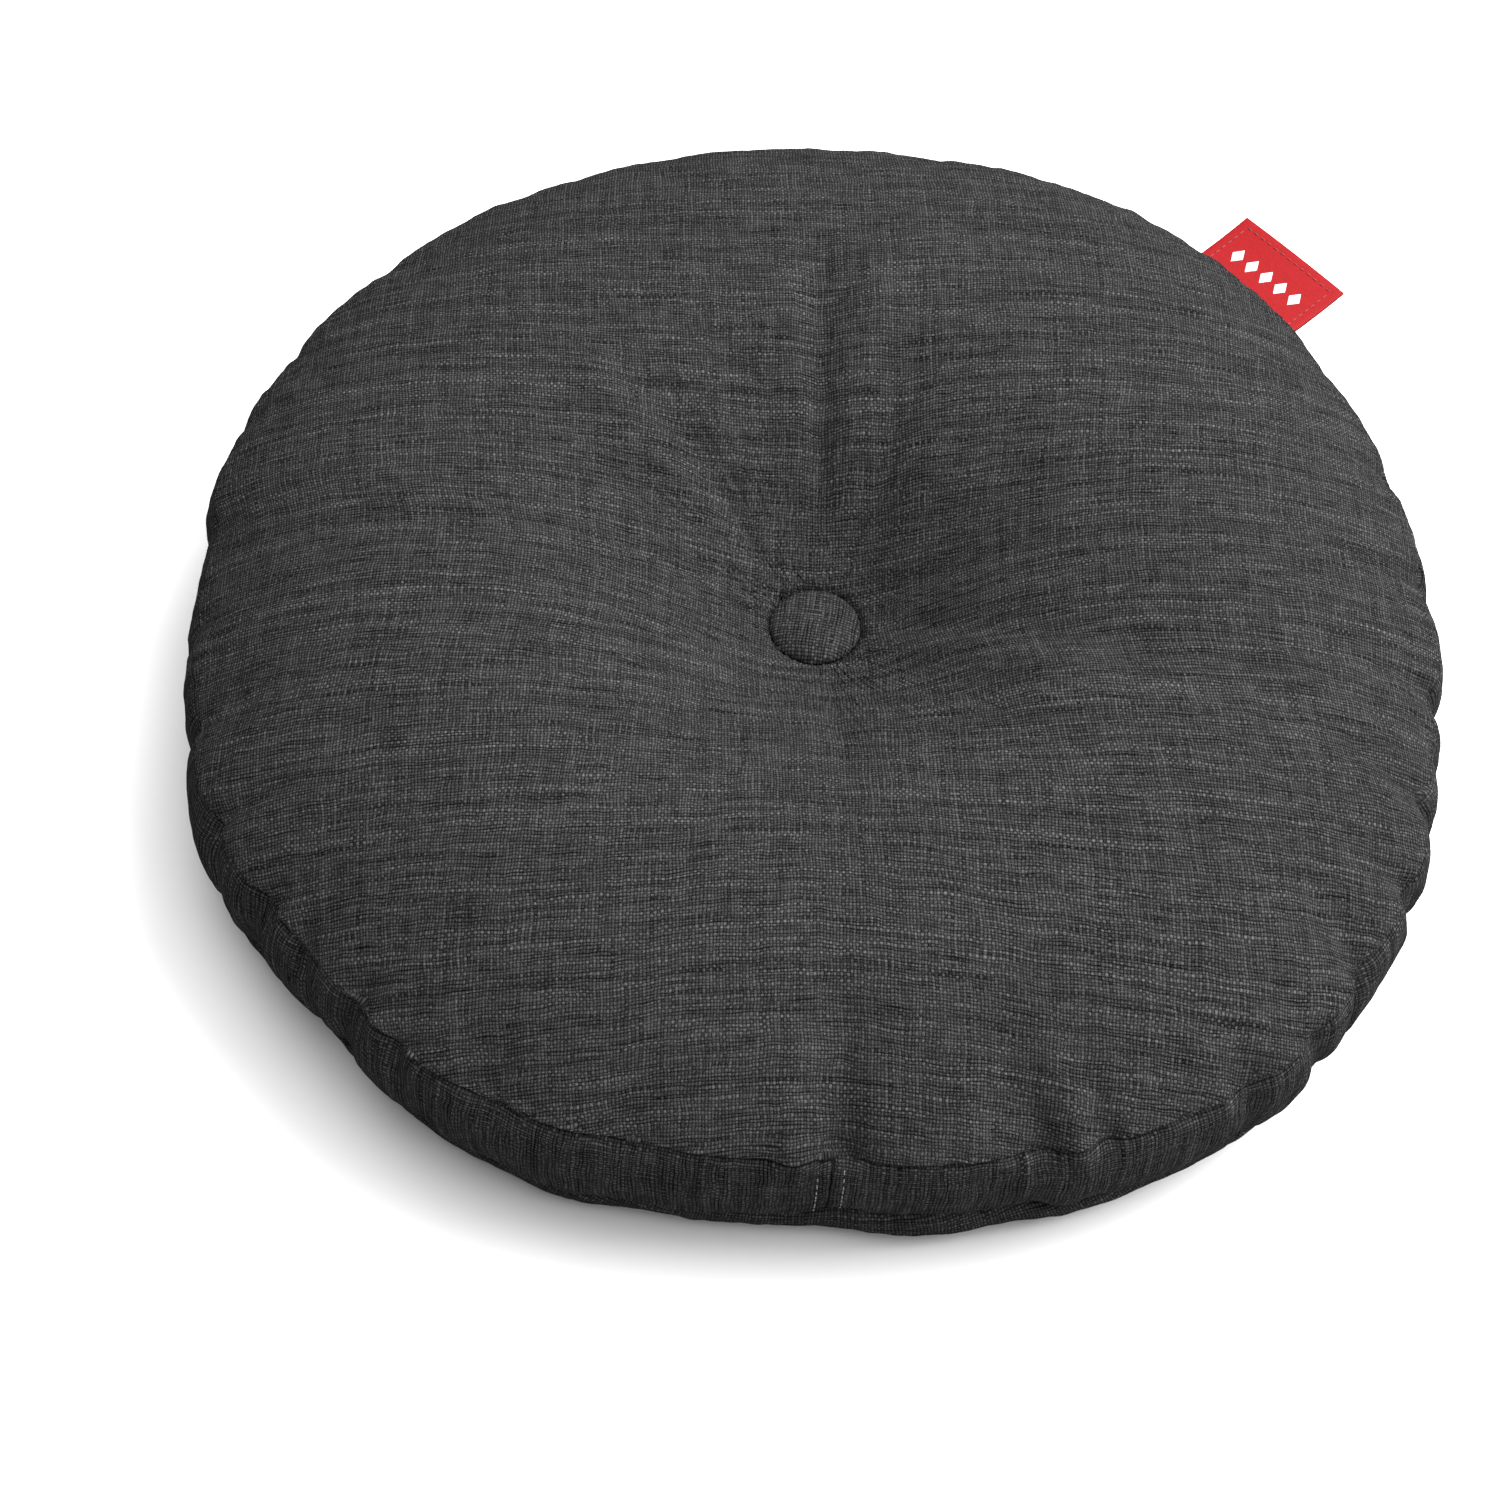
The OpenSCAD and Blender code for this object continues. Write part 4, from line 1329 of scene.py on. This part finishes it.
    def extruded(
        self, bm: bmesh.types.BMesh, edges: list[bmesh.types.BMEdge]
    ) -> list[bmesh.types.BMVert]:
        """Extrude edges in place, turn the new faces the way of the cloth and give the new points.

        Args:
            bm: the piece.
            edges: boundary edges.

        Returns:
            The new vertices.
        """
        uv = bm.loops.layers.uv[UV_NAME]
        faces_before = set(bm.faces)
        uvs = {v: l[uv].uv.copy() for e in edges for v in e.verts for l in v.link_loops}
        grown = bmesh.ops.extrude_edge_only(bm, edges=edges)["geom"]
        fresh = [g for g in grown if isinstance(g, bmesh.types.BMVert)]
        for face in (f for f in bm.faces if f not in faces_before):
            shared = next(e for e in face.edges if e in set(edges))
            loop = next(l for l in shared.link_loops if l.face is face)
            other = next((l for l in shared.link_loops if l.face is not face), None)
            if other is not None and other.vert is loop.vert:
                face.normal_flip()
            for loop in face.loops:
                near = loop.vert if loop.vert in uvs else None
                if near is None:
                    near = next(e.other_vert(loop.vert) for e in loop.vert.link_edges
                                if e.other_vert(loop.vert) in uvs)
                loop[uv].uv = uvs[near]
        return fresh

    def finish_piece(self, obj: bpy.types.Object, node: str) -> None:
        """Thicken and dress a cut piece, and let it stand for its solid of the frame."""
        dress(obj, self.finishes.cloth)
        rounding = obj.modifiers.new("rounding", "SUBSURF")
        rounding.levels = rounding.render_levels = 1
        rounding.use_limit_surface = False
        thicken(obj, "cloth", self.cloth_t)
        settle(obj, "cushion", "cover_cloth", node)

    def build(self) -> None:
        """Shape the cover and cut out its pieces."""
        self.shape()
        for patch, name, node in (
            (Patch.TOP, "top_panel_cloth", "top_panel"),
            (Patch.BOTTOM, "bottom_panel_cloth", "bottom_panel"),
            (Patch.BAND_LEFT, "band_left_cloth", "band_left"),
            (Patch.BAND_RIGHT, "band_right_cloth", "band_right"),
            (Patch.ZIP_UPPER, "zip_strip_upper_cloth", "zip_strip_upper"),
            (Patch.ZIP_LOWER, "zip_strip_lower_cloth", "zip_strip_lower"),
        ):
            self.finish_piece(self.cut_out(patch, name), node)


# ---------------------------------------------------------------- inside the cover


@dataclass
class Filling:
    """Lining and fibre, drawn as inset copies of the filled cover."""

    cover: Cover
    finishes: Finishes
    lining_depth: float = 2.2 * MM
    fibre_depth: float = 3.8 * MM
    side: float = 7.0 * MM
    lining_t: float = 0.35 * MM
    near_button: float = 42 * MM

    def inset(self, depth: float, side: float) -> bmesh.types.BMesh:
        """Copy the cover's net, moved inwards.

        Args:
            depth: how far the panels move in.
            side: how much further the side moves in, behind the seam allowances.

        Returns:
            The copy, whose faces keep their patch numbers.
        """
        bm = bmesh.new()
        bm.from_mesh(self.cover.net.data)
        bm.normal_update()
        start = 0.6 * self.cover.form.seam_r
        places = []
        for vert in bm.verts:
            deeper = 1.0 + 0.9 * bell(vert.co.xy.length / self.near_button)
            place = vert.co - vert.normal * depth * deeper
            radius = max(place.xy.length, 1e-6)
            pull = side * float(smooth_step((radius - start) / (self.cover.form.seam_r - start)))
            place.xy *= 1.0 - pull / radius
            places.append(place)
        for vert, place in zip(bm.verts, places):
            vert.co = place
        near = [v for v in bm.verts if 6 * MM < v.co.xy.length < self.near_button and not v.is_boundary]
        for _ in range(4):
            bmesh.ops.smooth_vert(
                bm, verts=near, factor=0.5, use_axis_x=True, use_axis_y=True, use_axis_z=True
            )
        return bm

    def lining(self, patches: set[Patch], name: str, node: str) -> None:
        """Make one sheet of the lining.

        Args:
            patches: the cover's patches that it lies behind.
            name: the piece's name.
            node: the solid it stands for.
        """
        bm = self.inset(self.lining_depth, self.side)
        wanted = {patch.value for patch in patches}
        bmesh.ops.delete(
            bm, geom=[f for f in bm.faces if f.material_index not in wanted], context="FACES"
        )
        for face in bm.faces:
            face.material_index = 0
        obj = object_from(bm, name)
        thicken(obj, "sheet", self.lining_t)
        dress(obj, self.finishes.lining)
        settle(obj, "cushion", "lining", node)

    def fibre(self) -> None:
        """Make the fibre as one closed body with a passage for the twine."""
        bm = self.inset(self.fibre_depth, self.side + 1 * MM)
        ends = [e for e in bm.edges if e.is_boundary]
        bmesh.ops.bridge_loops(bm, edges=ends)
        bmesh.ops.recalc_face_normals(bm, faces=bm.faces[:])
        for face in bm.faces:
            face.material_index = 0
        obj = object_from(bm, "loose_fibre_filling")
        dress(obj, self.finishes.fibre)
        settle(obj, "cushion", "fibre", "fibre_fill")

    def build(self) -> None:
        """Make the three sheets of lining and the fibre."""
        band = {Patch.BAND_LEFT, Patch.BAND_RIGHT, Patch.ZIP_UPPER, Patch.ZIP_SLOT, Patch.ZIP_LOWER}
        self.lining({Patch.TOP}, "lining_top_sheet", "liner_top")
        self.lining(band, "lining_side_sheet", "liner_band")
        self.lining({Patch.BOTTOM}, "lining_bottom_sheet", "liner_bottom")
        self.fibre()


def settle(obj: bpy.types.Object, body: str, slot: str, *nodes: str) -> None:
    """Hang a piece on the body that it rides on, and hide and log the solids that it stands for.

    Args:
        obj: the piece.
        body: the body that it rides on.
        slot: the name of the material slot for its finish; not used.
        *nodes: the CAD nodes that it replaces.
    """
    if nodes:
        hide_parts(*nodes)
    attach(obj, body)
    faces = len(getattr(obj.data, "polygons", []))
    LOG.info("%s: %d faces, for %s", obj.name, faces, ", ".join(nodes) or "-")


# ---------------------------------------------------------------- sewing


@dataclass
class Stitches:
    """A set of separate thread stitches, drawn as one mesh."""

    thread_d: float
    length: float = 2.6 * MM
    sides: int = 8
    bm: bmesh.types.BMesh = field(default_factory=bmesh.new)

    def add(self, place: Vector, along: Vector, out: Vector) -> None:
        """Add one stitch, pressed a little into the cloth at its ends.

        Args:
            place: its middle, on the cloth's surface.
            along: the direction that it runs in.
            out: the direction away from the cloth.
        """
        made = bmesh.ops.create_uvsphere(self.bm, u_segments=self.sides, v_segments=6, radius=0.5)
        where = basis(along, out, place)
        for vert in made["verts"]:
            x, y, z = vert.co
            fat = self.thread_d * 1.05
            arch = (0.25 - x * x) * self.thread_d * 1.1
            vert.co = where @ Vector((x * self.length, y * fat, z * fat + arch))

    def finish(self, name: str, material: bpy.types.Material) -> bpy.types.Object:
        """Turn the stitches into one dressed object."""
        obj = object_from(self.bm, name)
        dress(obj, material)
        return obj


@dataclass
class Sewing:
    """The threads of the seams, the front join and the zip."""

    cover: Cover
    finishes: Finishes
    thread_d: float = 0.6 * MM
    join_gap: float = 9.3 * MM
    pitch: float = 3.7 * MM
    seam_depth: float = 3.0 * MM

    def seam_thread(self, ring: int, name: str, node: str) -> None:
        """Run a thread along one of the cover's two round seams.

        Args:
            ring: the net's ring on the seam.
            name: the piece's name.
            node: the solid it stands for.
        """
        chosen = np.flatnonzero(self.cover.ring == ring)
        chosen = chosen[np.argsort(self.cover.az[chosen])]
        points = [Vector(self.cover.points[index]) for index in chosen]
        for place in points:
            place.xy *= 1.0 - self.seam_depth / place.xy.length
        obj = wire_along(name, points, self.thread_d / 2, 2, closed=True)
        obj.data.materials.append(self.finishes.dark_thread)
        settle(obj, "cushion", "dark_thread", node)

    def on_band(self, az: float, height: float) -> tuple[Vector, Vector, Vector]:
        """Find the band's surface in one direction at one height.

        Args:
            az: the direction in degrees.
            height: the height above the floor.

        Returns:
            The place, the outward direction and the direction up the band.
        """
        out = Vector((math.cos(math.radians(az)), math.sin(math.radians(az)), 0))
        start = out * 2 * self.cover.form.seam_r + Vector((0, 0, height))
        place, normal, _, _ = self.cover.surface.ray_cast(start, -out)
        if place is None:
            place, normal = out * self.cover.form.seam_r + Vector((0, 0, height)), out
        if normal.dot(out) < 0:
            normal = -normal
        side = Vector((0, 0, 1)).cross(normal).normalized()
        return place, normal, normal.cross(side).normalized()

    def join_rows(self) -> None:
        """Stitch the two rows beside the upright front join."""
        f = self.cover.form
        rows = Stitches(self.thread_d * 0.85)
        offset = math.degrees(self.join_gap / 2 / f.seam_r)
        count = int((f.half_h - 3 * MM) / self.pitch)
        for side in (-1, 1):
            for k in range(-count, count + 1):
                place, out, up = self.on_band(f.join_az + side * offset, f.mid_z + k * self.pitch)
                rows.add(place, up, out)
        obj = rows.finish("front_join_stitches", self.finishes.grey_thread)
        settle(obj, "cushion", "grey_thread", "band_join_topstitching")

    def zip_rows(self) -> None:
        """Stitch the two rows that hold the zip's tapes."""
        f = self.cover.form
        rows = Stitches(self.thread_d, sides=6)
        step = math.degrees(self.pitch / f.seam_r)
        count = int((f.zip_half - 1.6) / step)
        height = f.zip_slot / 2 + 3 * MM
        for side in (-1, 1):
            for k in range(-count, count + 1):
                place, out, up = self.on_band(90.0 + k * step, f.mid_z + side * height)
                rows.add(place, up.cross(out), out)
        obj = rows.finish("zip_stitches", self.finishes.dark_thread)
        settle(obj, "cushion", "dark_thread", "zip_topstitching")

    def build(self) -> None:
        """Sew everything."""
        self.seam_thread(self.cover.seam_ring, "top_seam_sewing", "top_seam_thread")
        self.seam_thread(self.cover.low_seam_ring, "bottom_seam_sewing", "bottom_seam_thread")
        self.join_rows()
        self.zip_rows()


# ---------------------------------------------------------------- label


@dataclass
class Label:
    """Red tape folded double and caught in the top seam, with a woven motif."""

    finishes: Finishes
    tape_t: float = 0.6 * MM
    az: float = 48.1
    margin: float = 4 * MM
    pitch: float = 3.7 * MM
    motif_count: int = 5

    def __post_init__(self) -> None:
        """Read the label's place and size from the frame."""
        low, high = box_of("woven_label")
        seam_low, seam_high = box_of("top_seam_thread")
        self.z = (low.z + high.z) / 2
        self.thick = high.z - low.z
        self.root = seam_high.x - 4.5 * MM
        turn = math.radians(self.az)
        self.out = Vector((math.cos(turn), math.sin(turn), 0))
        self.side = Vector((-self.out.y, self.out.x, 0))
        corner = Vector((high.x, high.y, 0))
        self.width = 55 * MM
        reach = (high.x - self.width / 2 * abs(self.side.x)) / self.out.x
        self.end = min(reach, corner.length)

    def lie(self, x: float, y: float) -> float:
        """Give how far the label bends off level, in metres.

        Args:
            x: the way from the seam to the fold, from 0 to 1.
            y: the way across, from -1 to 1.

        Returns:
            The height above the seam's level.
        """
        curl = (1.6 * x**2 - 0.5 * math.sin(math.pi * x)) * MM
        return curl + 0.5 * MM * y * x * x - 0.5 * MM * y * y * x

    def place(self, along: float, across: float, lift: float) -> Vector:
        """Give a point of the label.

        Args:
            along: the distance from the buttons' axis.
            across: the distance along the seam from the label's middle.
            lift: the height above the label's middle layer.

        Returns:
            The point.
        """
        x = max(0.0, (along - self.root) / (self.end - self.root))
        height = self.z + self.lie(x, 2 * across / self.width) + lift
        return self.out * along + self.side * across + Vector((0, 0, height))

    def tape(self) -> None:
        """Fold the tape: out along the lower layer, round the end and back along the upper."""
        half = self.thick / 2 - self.tape_t / 2
        steps, bend = 16, 6
        run = [(self.root + (self.end - half - self.root) * k / steps, -half) for k in range(steps + 1)]
        for k in range(1, bend):
            a = math.pi * k / bend - math.pi / 2
            run.append((self.end - half + half * math.cos(a), half * math.sin(a)))
        run += [(x, -z) for x, z in reversed(run[: steps + 1])]
        bm = bmesh.new()
        uv = bm.loops.layers.uv.new(UV_NAME)
        grid = bmesh.ops.create_grid(bm, x_segments=len(run) - 1, y_segments=28, size=0.5)
        length = 2 * (self.end - self.root)
        for face in bm.faces:
            for loop in face.loops:
                x, y, _ = loop.vert.co
                loop[uv].uv = ((x + 0.5) * length, y * self.width)
        for vert in grid["verts"]:
            number = round((vert.co.x + 0.5) * (len(run) - 1))
            along, lift = run[number]
            vert.co = self.place(along, vert.co.y * self.width, lift)
        bmesh.ops.recalc_face_normals(bm, faces=bm.faces[:])
        face_up(bm)
        obj = object_from(bm, "folded_red_label")
        thicken(obj, "tape", self.tape_t, 0.0)
        bevelled(obj, "selvedge", 0.12 * MM).limit_method = "ANGLE"
        dress(obj, self.finishes.label_tape)
        settle(obj, "cushion", "label_tape", "woven_label")

    def stitches(self) -> None:
        """Stitch round the label's outer part on both faces."""
        rows = Stitches(0.5 * MM, length=2.7 * MM)
        end = self.end - self.margin
        side = self.width / 2 - self.margin
        across = int(side / self.pitch)
        along = int((end - self.root - 9 * MM) / self.pitch)
        for face in (-1, 1):
            lift = face * self.thick / 2
            spots = [(end, k * self.pitch, self.side) for k in range(-across, across + 1)]
            for edge in (-1, 1):
                spots += [(end - k * self.pitch, edge * side, self.out) for k in range(1, along + 1)]
            for x, y, way in spots:
                rows.add(self.place(x, y, lift), way, Vector((0, 0, face)))
        obj = rows.finish("label_stitches", self.finishes.label_thread)
        settle(obj, "cushion", "label_thread", "label_stitching")

    def motif(self) -> None:
        """Weave a plain row of lozenges into the upper face."""
        bm = bmesh.new()
        middle = self.root + 0.56 * (self.end - self.root)
        half_w, half_l, rise = 3.0 * MM, 4.6 * MM, 0.3 * MM
        for number in range(self.motif_count):
            y = (number - (self.motif_count - 1) / 2) * 8.0 * MM
            made = bmesh.ops.create_cone(
                bm, cap_ends=True, segments=4, radius1=1.0, radius2=0.9, depth=1.0
            )
            for vert in made["verts"]:
                px, py, pz = vert.co
                spot = self.place(middle + py * half_l, y + px * half_w, self.thick / 2)
                vert.co = spot + Vector((0, 0, pz * rise))
        bmesh.ops.recalc_face_normals(bm, faces=bm.faces[:])
        obj = object_from(bm, "woven_lozenges", smooth=False)
        bevelled(obj, "soft_edge", 0.1 * MM)
        dress(obj, self.finishes.motif)
        settle(obj, "cushion", "label_thread")

    def build(self) -> None:
        """Make the tape, its stitches and its motif."""
        self.tape()
        self.stitches()
        self.motif()


# ---------------------------------------------------------------- buttons


@dataclass
class Button:
    """A cloth-covered button: a flat dome whose cloth is gathered under its rim."""

    node: str
    finishes: Finishes
    down: bool = False
    weave_turn: float = 93.0
    steps: int = 96
    cloth_t: float = 0.8 * MM
    rim: float = 2.2 * MM

    def build(self) -> None:
        """Spin the dome, gather its rim and dress it."""
        low, high = box_of(self.node)
        radius, height = high.x, high.z - low.z
        arc = [math.radians(a) for a in (-62, -45, -25, 0, 12, 24, 36, 48, 60, 72, 82, 90)]
        rim = self.rim
        line = [(radius - 5 * MM, 0.0), (radius - 3 * MM, 0.0)]
        for a in arc:
            grow = (height - rim) * 0.86 if a > 0 else rim
            power = 0.8 if a > 0 else 1.0
            line.append((radius * max(0.0, math.cos(a)) ** power, rim + grow * math.sin(a)))
        bm = spun([(x, 0, max(0.0, z)) for x, z in line], self.steps, 1e-5)
        face_up(bm)
        self.cut_cloth(bm, radius, height)
        for vert in bm.verts:
            turn = math.atan2(vert.co.y, vert.co.x)
            low_part = float(smooth_step((rim - vert.co.z) / rim))
            vert.co.xy *= 1.0 + 0.012 * low_part * math.sin(17 * turn)
            vert.co.z = low.z + vert.co.z if not self.down else high.z - vert.co.z
        if self.down:
            bmesh.ops.reverse_faces(bm, faces=bm.faces[:])
        obj = object_from(bm, self.node.replace("cover", "cloth_cap"))
        rounding = obj.modifiers.new("rounding", "SUBSURF")
        rounding.levels = rounding.render_levels = 1
        thicken(obj, "cloth", self.cloth_t)
        dress(obj, self.finishes.cloth)
        settle(obj, "cushion", "cover_cloth", self.node)

    def cut_cloth(self, bm: bmesh.types.BMesh, radius: float, height: float) -> None:
        """Map the dome to its flat round of cloth, turned to lie across the panel's weave.

        Args:
            bm: the dome, standing on zero.
            radius: the button's radius.
            height: the button's height.
        """
        uv = bm.loops.layers.uv.new(UV_NAME)
        for face in bm.faces:
            for loop in face.loops:
                x, y, z = loop.vert.co
                out = math.hypot(x, y)
                cut = math.hypot(out, 0.6 * (height - z)) + 0.5 * max(0.0, 2 * MM - z)
                a = math.atan2(y, x) + math.radians(self.weave_turn)
                loop[uv].uv = (cut * math.cos(a) + 0.05, cut * math.sin(a) + 0.05)


# ---------------------------------------------------------------- zip


@dataclass
class ZipChain:
    """The two nylon coils, wound tooth by tooth along the slot."""

    finishes: Finishes
    pitch: float = 1.5 * MM
    wire: float = 0.32 * MM
    turn_points: int = 10

    def coil(self, node: str, up: float) -> None:
        """Wind one coil.

        Args:
            node: the CAD coil that it stands for.
            up: 1 for the upper coil and -1 for the lower.
        """
        low, high = box_of(node)
        middle_r = high.y - (high.z - low.z) / 2
        half_turn = math.degrees(math.asin(min(1.0, high.x / high.y)))
        rise = (high.z - low.z) / 2 - self.wire
        centre = (low.z + high.z) / 2
        count = int(2 * math.radians(half_turn) * middle_r / self.pitch)
        total = count * self.turn_points
        points = []
        for k in range(total + 1):
            wind = 2 * math.pi * k / self.turn_points + (0.0 if up > 0 else math.pi)
            az = math.radians(90 - half_turn + 2 * half_turn * k / total)
            radius = middle_r + (rise * 0.85) * math.cos(wind)
            z = centre + up * rise * math.sin(wind)
            points.append((radius * math.cos(az), radius * math.sin(az), z))
        obj = wire_along(node + "_teeth", points, self.wire, 1, closed=False)
        obj.data.materials.append(self.finishes.nylon)
        settle(obj, "cushion", "zip_coil", node)

    def build(self) -> None:
        """Wind both coils."""
        self.coil("zip_coil_upper", 1.0)
        self.coil("zip_coil_lower", -1.0)


@dataclass
class CarriedNodes:
    """The CAD nodes that are shown as they are, with their finishes."""

    finishes: Finishes

    def build(self) -> None:
        """Give each node its material."""
        f = self.finishes
        chosen = {
            "zip_tape_upper": f.zip_tape,
            "zip_tape_lower": f.zip_tape,
            "zip_closed_stop": f.lacquer,
            "zip_open_stop": f.lacquer,
            "zip_slider": f.lacquer,
            "zip_pull": f.lacquer,
            "tufting_twine": f.twine,
        }
        for end in ("top", "bottom"):
            for part in ("shell", "back", "loop"):
                chosen[f"{end}_button_{part}"] = f.pressed
        for node, material in chosen.items():
            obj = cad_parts[node]
            for slot in obj.material_slots:
                slot.material = material
            LOG.info("%s keeps its CAD shape, in %s", node, material.name)


# ---------------------------------------------------------------- studio


@dataclass(frozen=True)
class Studio:
    """Camera, lights and pale floor."""

    distance: float = 1.5795
    elevation: float = 54.32
    aim: tuple[float, float, float] = (4.8 * MM, -3.0 * MM, 0.0)
    roll: float = 5.31
    lens: float = 93.9
    shift: tuple[float, float] = (-0.0455, -0.0168)
    surround_strength: float = 0.3
    floor_tone: tuple[float, float, float] = (0.56, 0.56, 0.56)

    def camera(self) -> None:
        """Make the camera and give it to the scene."""
        data = bpy.data.cameras.new("view")
        data.lens = self.lens
        data.sensor_width = 36.0
        data.shift_x, data.shift_y = self.shift
        data.clip_end = 20.0
        obj = linked("view", data)
        up = math.radians(self.elevation)
        aim = Vector(self.aim)
        eye = aim + Vector((0, -math.cos(up), math.sin(up))) * self.distance
        obj.matrix_world = aimed(eye, aim, self.roll)
        bpy.context.scene.camera = obj

    def area(self, name: str, place: tuple, size: float, power: float) -> None:
        """Add a square soft light that points at the cushion."""
        data = bpy.data.lights.new(name, "AREA")
        data.size = size
        data.energy = power
        linked(name, data).matrix_world = aimed(Vector(place), Vector((0, 0, 0.05)))

    def surround(self) -> None:
        """Fill the room with an even pale light."""
        world = bpy.data.worlds.new("room")
        world.use_nodes = True
        background = world.node_tree.nodes["Background"]
        background.inputs["Color"].default_value = (1, 1, 1, 1)
        background.inputs["Strength"].default_value = self.surround_strength
        bpy.context.scene.world = world

    def floor(self) -> None:
        """Lay the plain pale floor."""
        bm = bmesh.new()
        bmesh.ops.create_grid(bm, x_segments=2, y_segments=2, size=6.0)
        obj = object_from(bm, "floor")
        t = NodeTree("pale_floor")
        dress(obj, t.finish(self.floor_tone, 0.9, Specular_IOR_Level=0.1))

    def build(self) -> None:
        """Set up everything that isn't the cushion."""
        self.camera()
        self.surround()
        self.area("key", (1.85, 1.0, 2.05), 3.2, 340.0)
        self.area("top", (0.55, 0.1, 2.4), 4.0, 262.0)
        self.floor()
        bpy.context.scene.view_settings.view_transform = "Standard"


# ---------------------------------------------------------------- assembly


def main() -> None:
    """Build the studio and the cushion."""
    logging.basicConfig(level=logging.INFO, format="%(name)s: %(message)s")
    finishes = Finishes.make()
    Studio().build()
    form = CoverForm()
    cover = Cover(form, finishes)
    cover.build()
    for part in (
        Filling(cover, finishes),
        Sewing(cover, finishes),
        Label(finishes),
        Button("top_button_cover", finishes),
        Button("bottom_button_cover", finishes, down=True),
        ZipChain(finishes),
        CarriedNodes(finishes),
    ):
        part.build()
    bpy.data.objects.remove(cover.net)


if __name__ == "__main__":
    main()
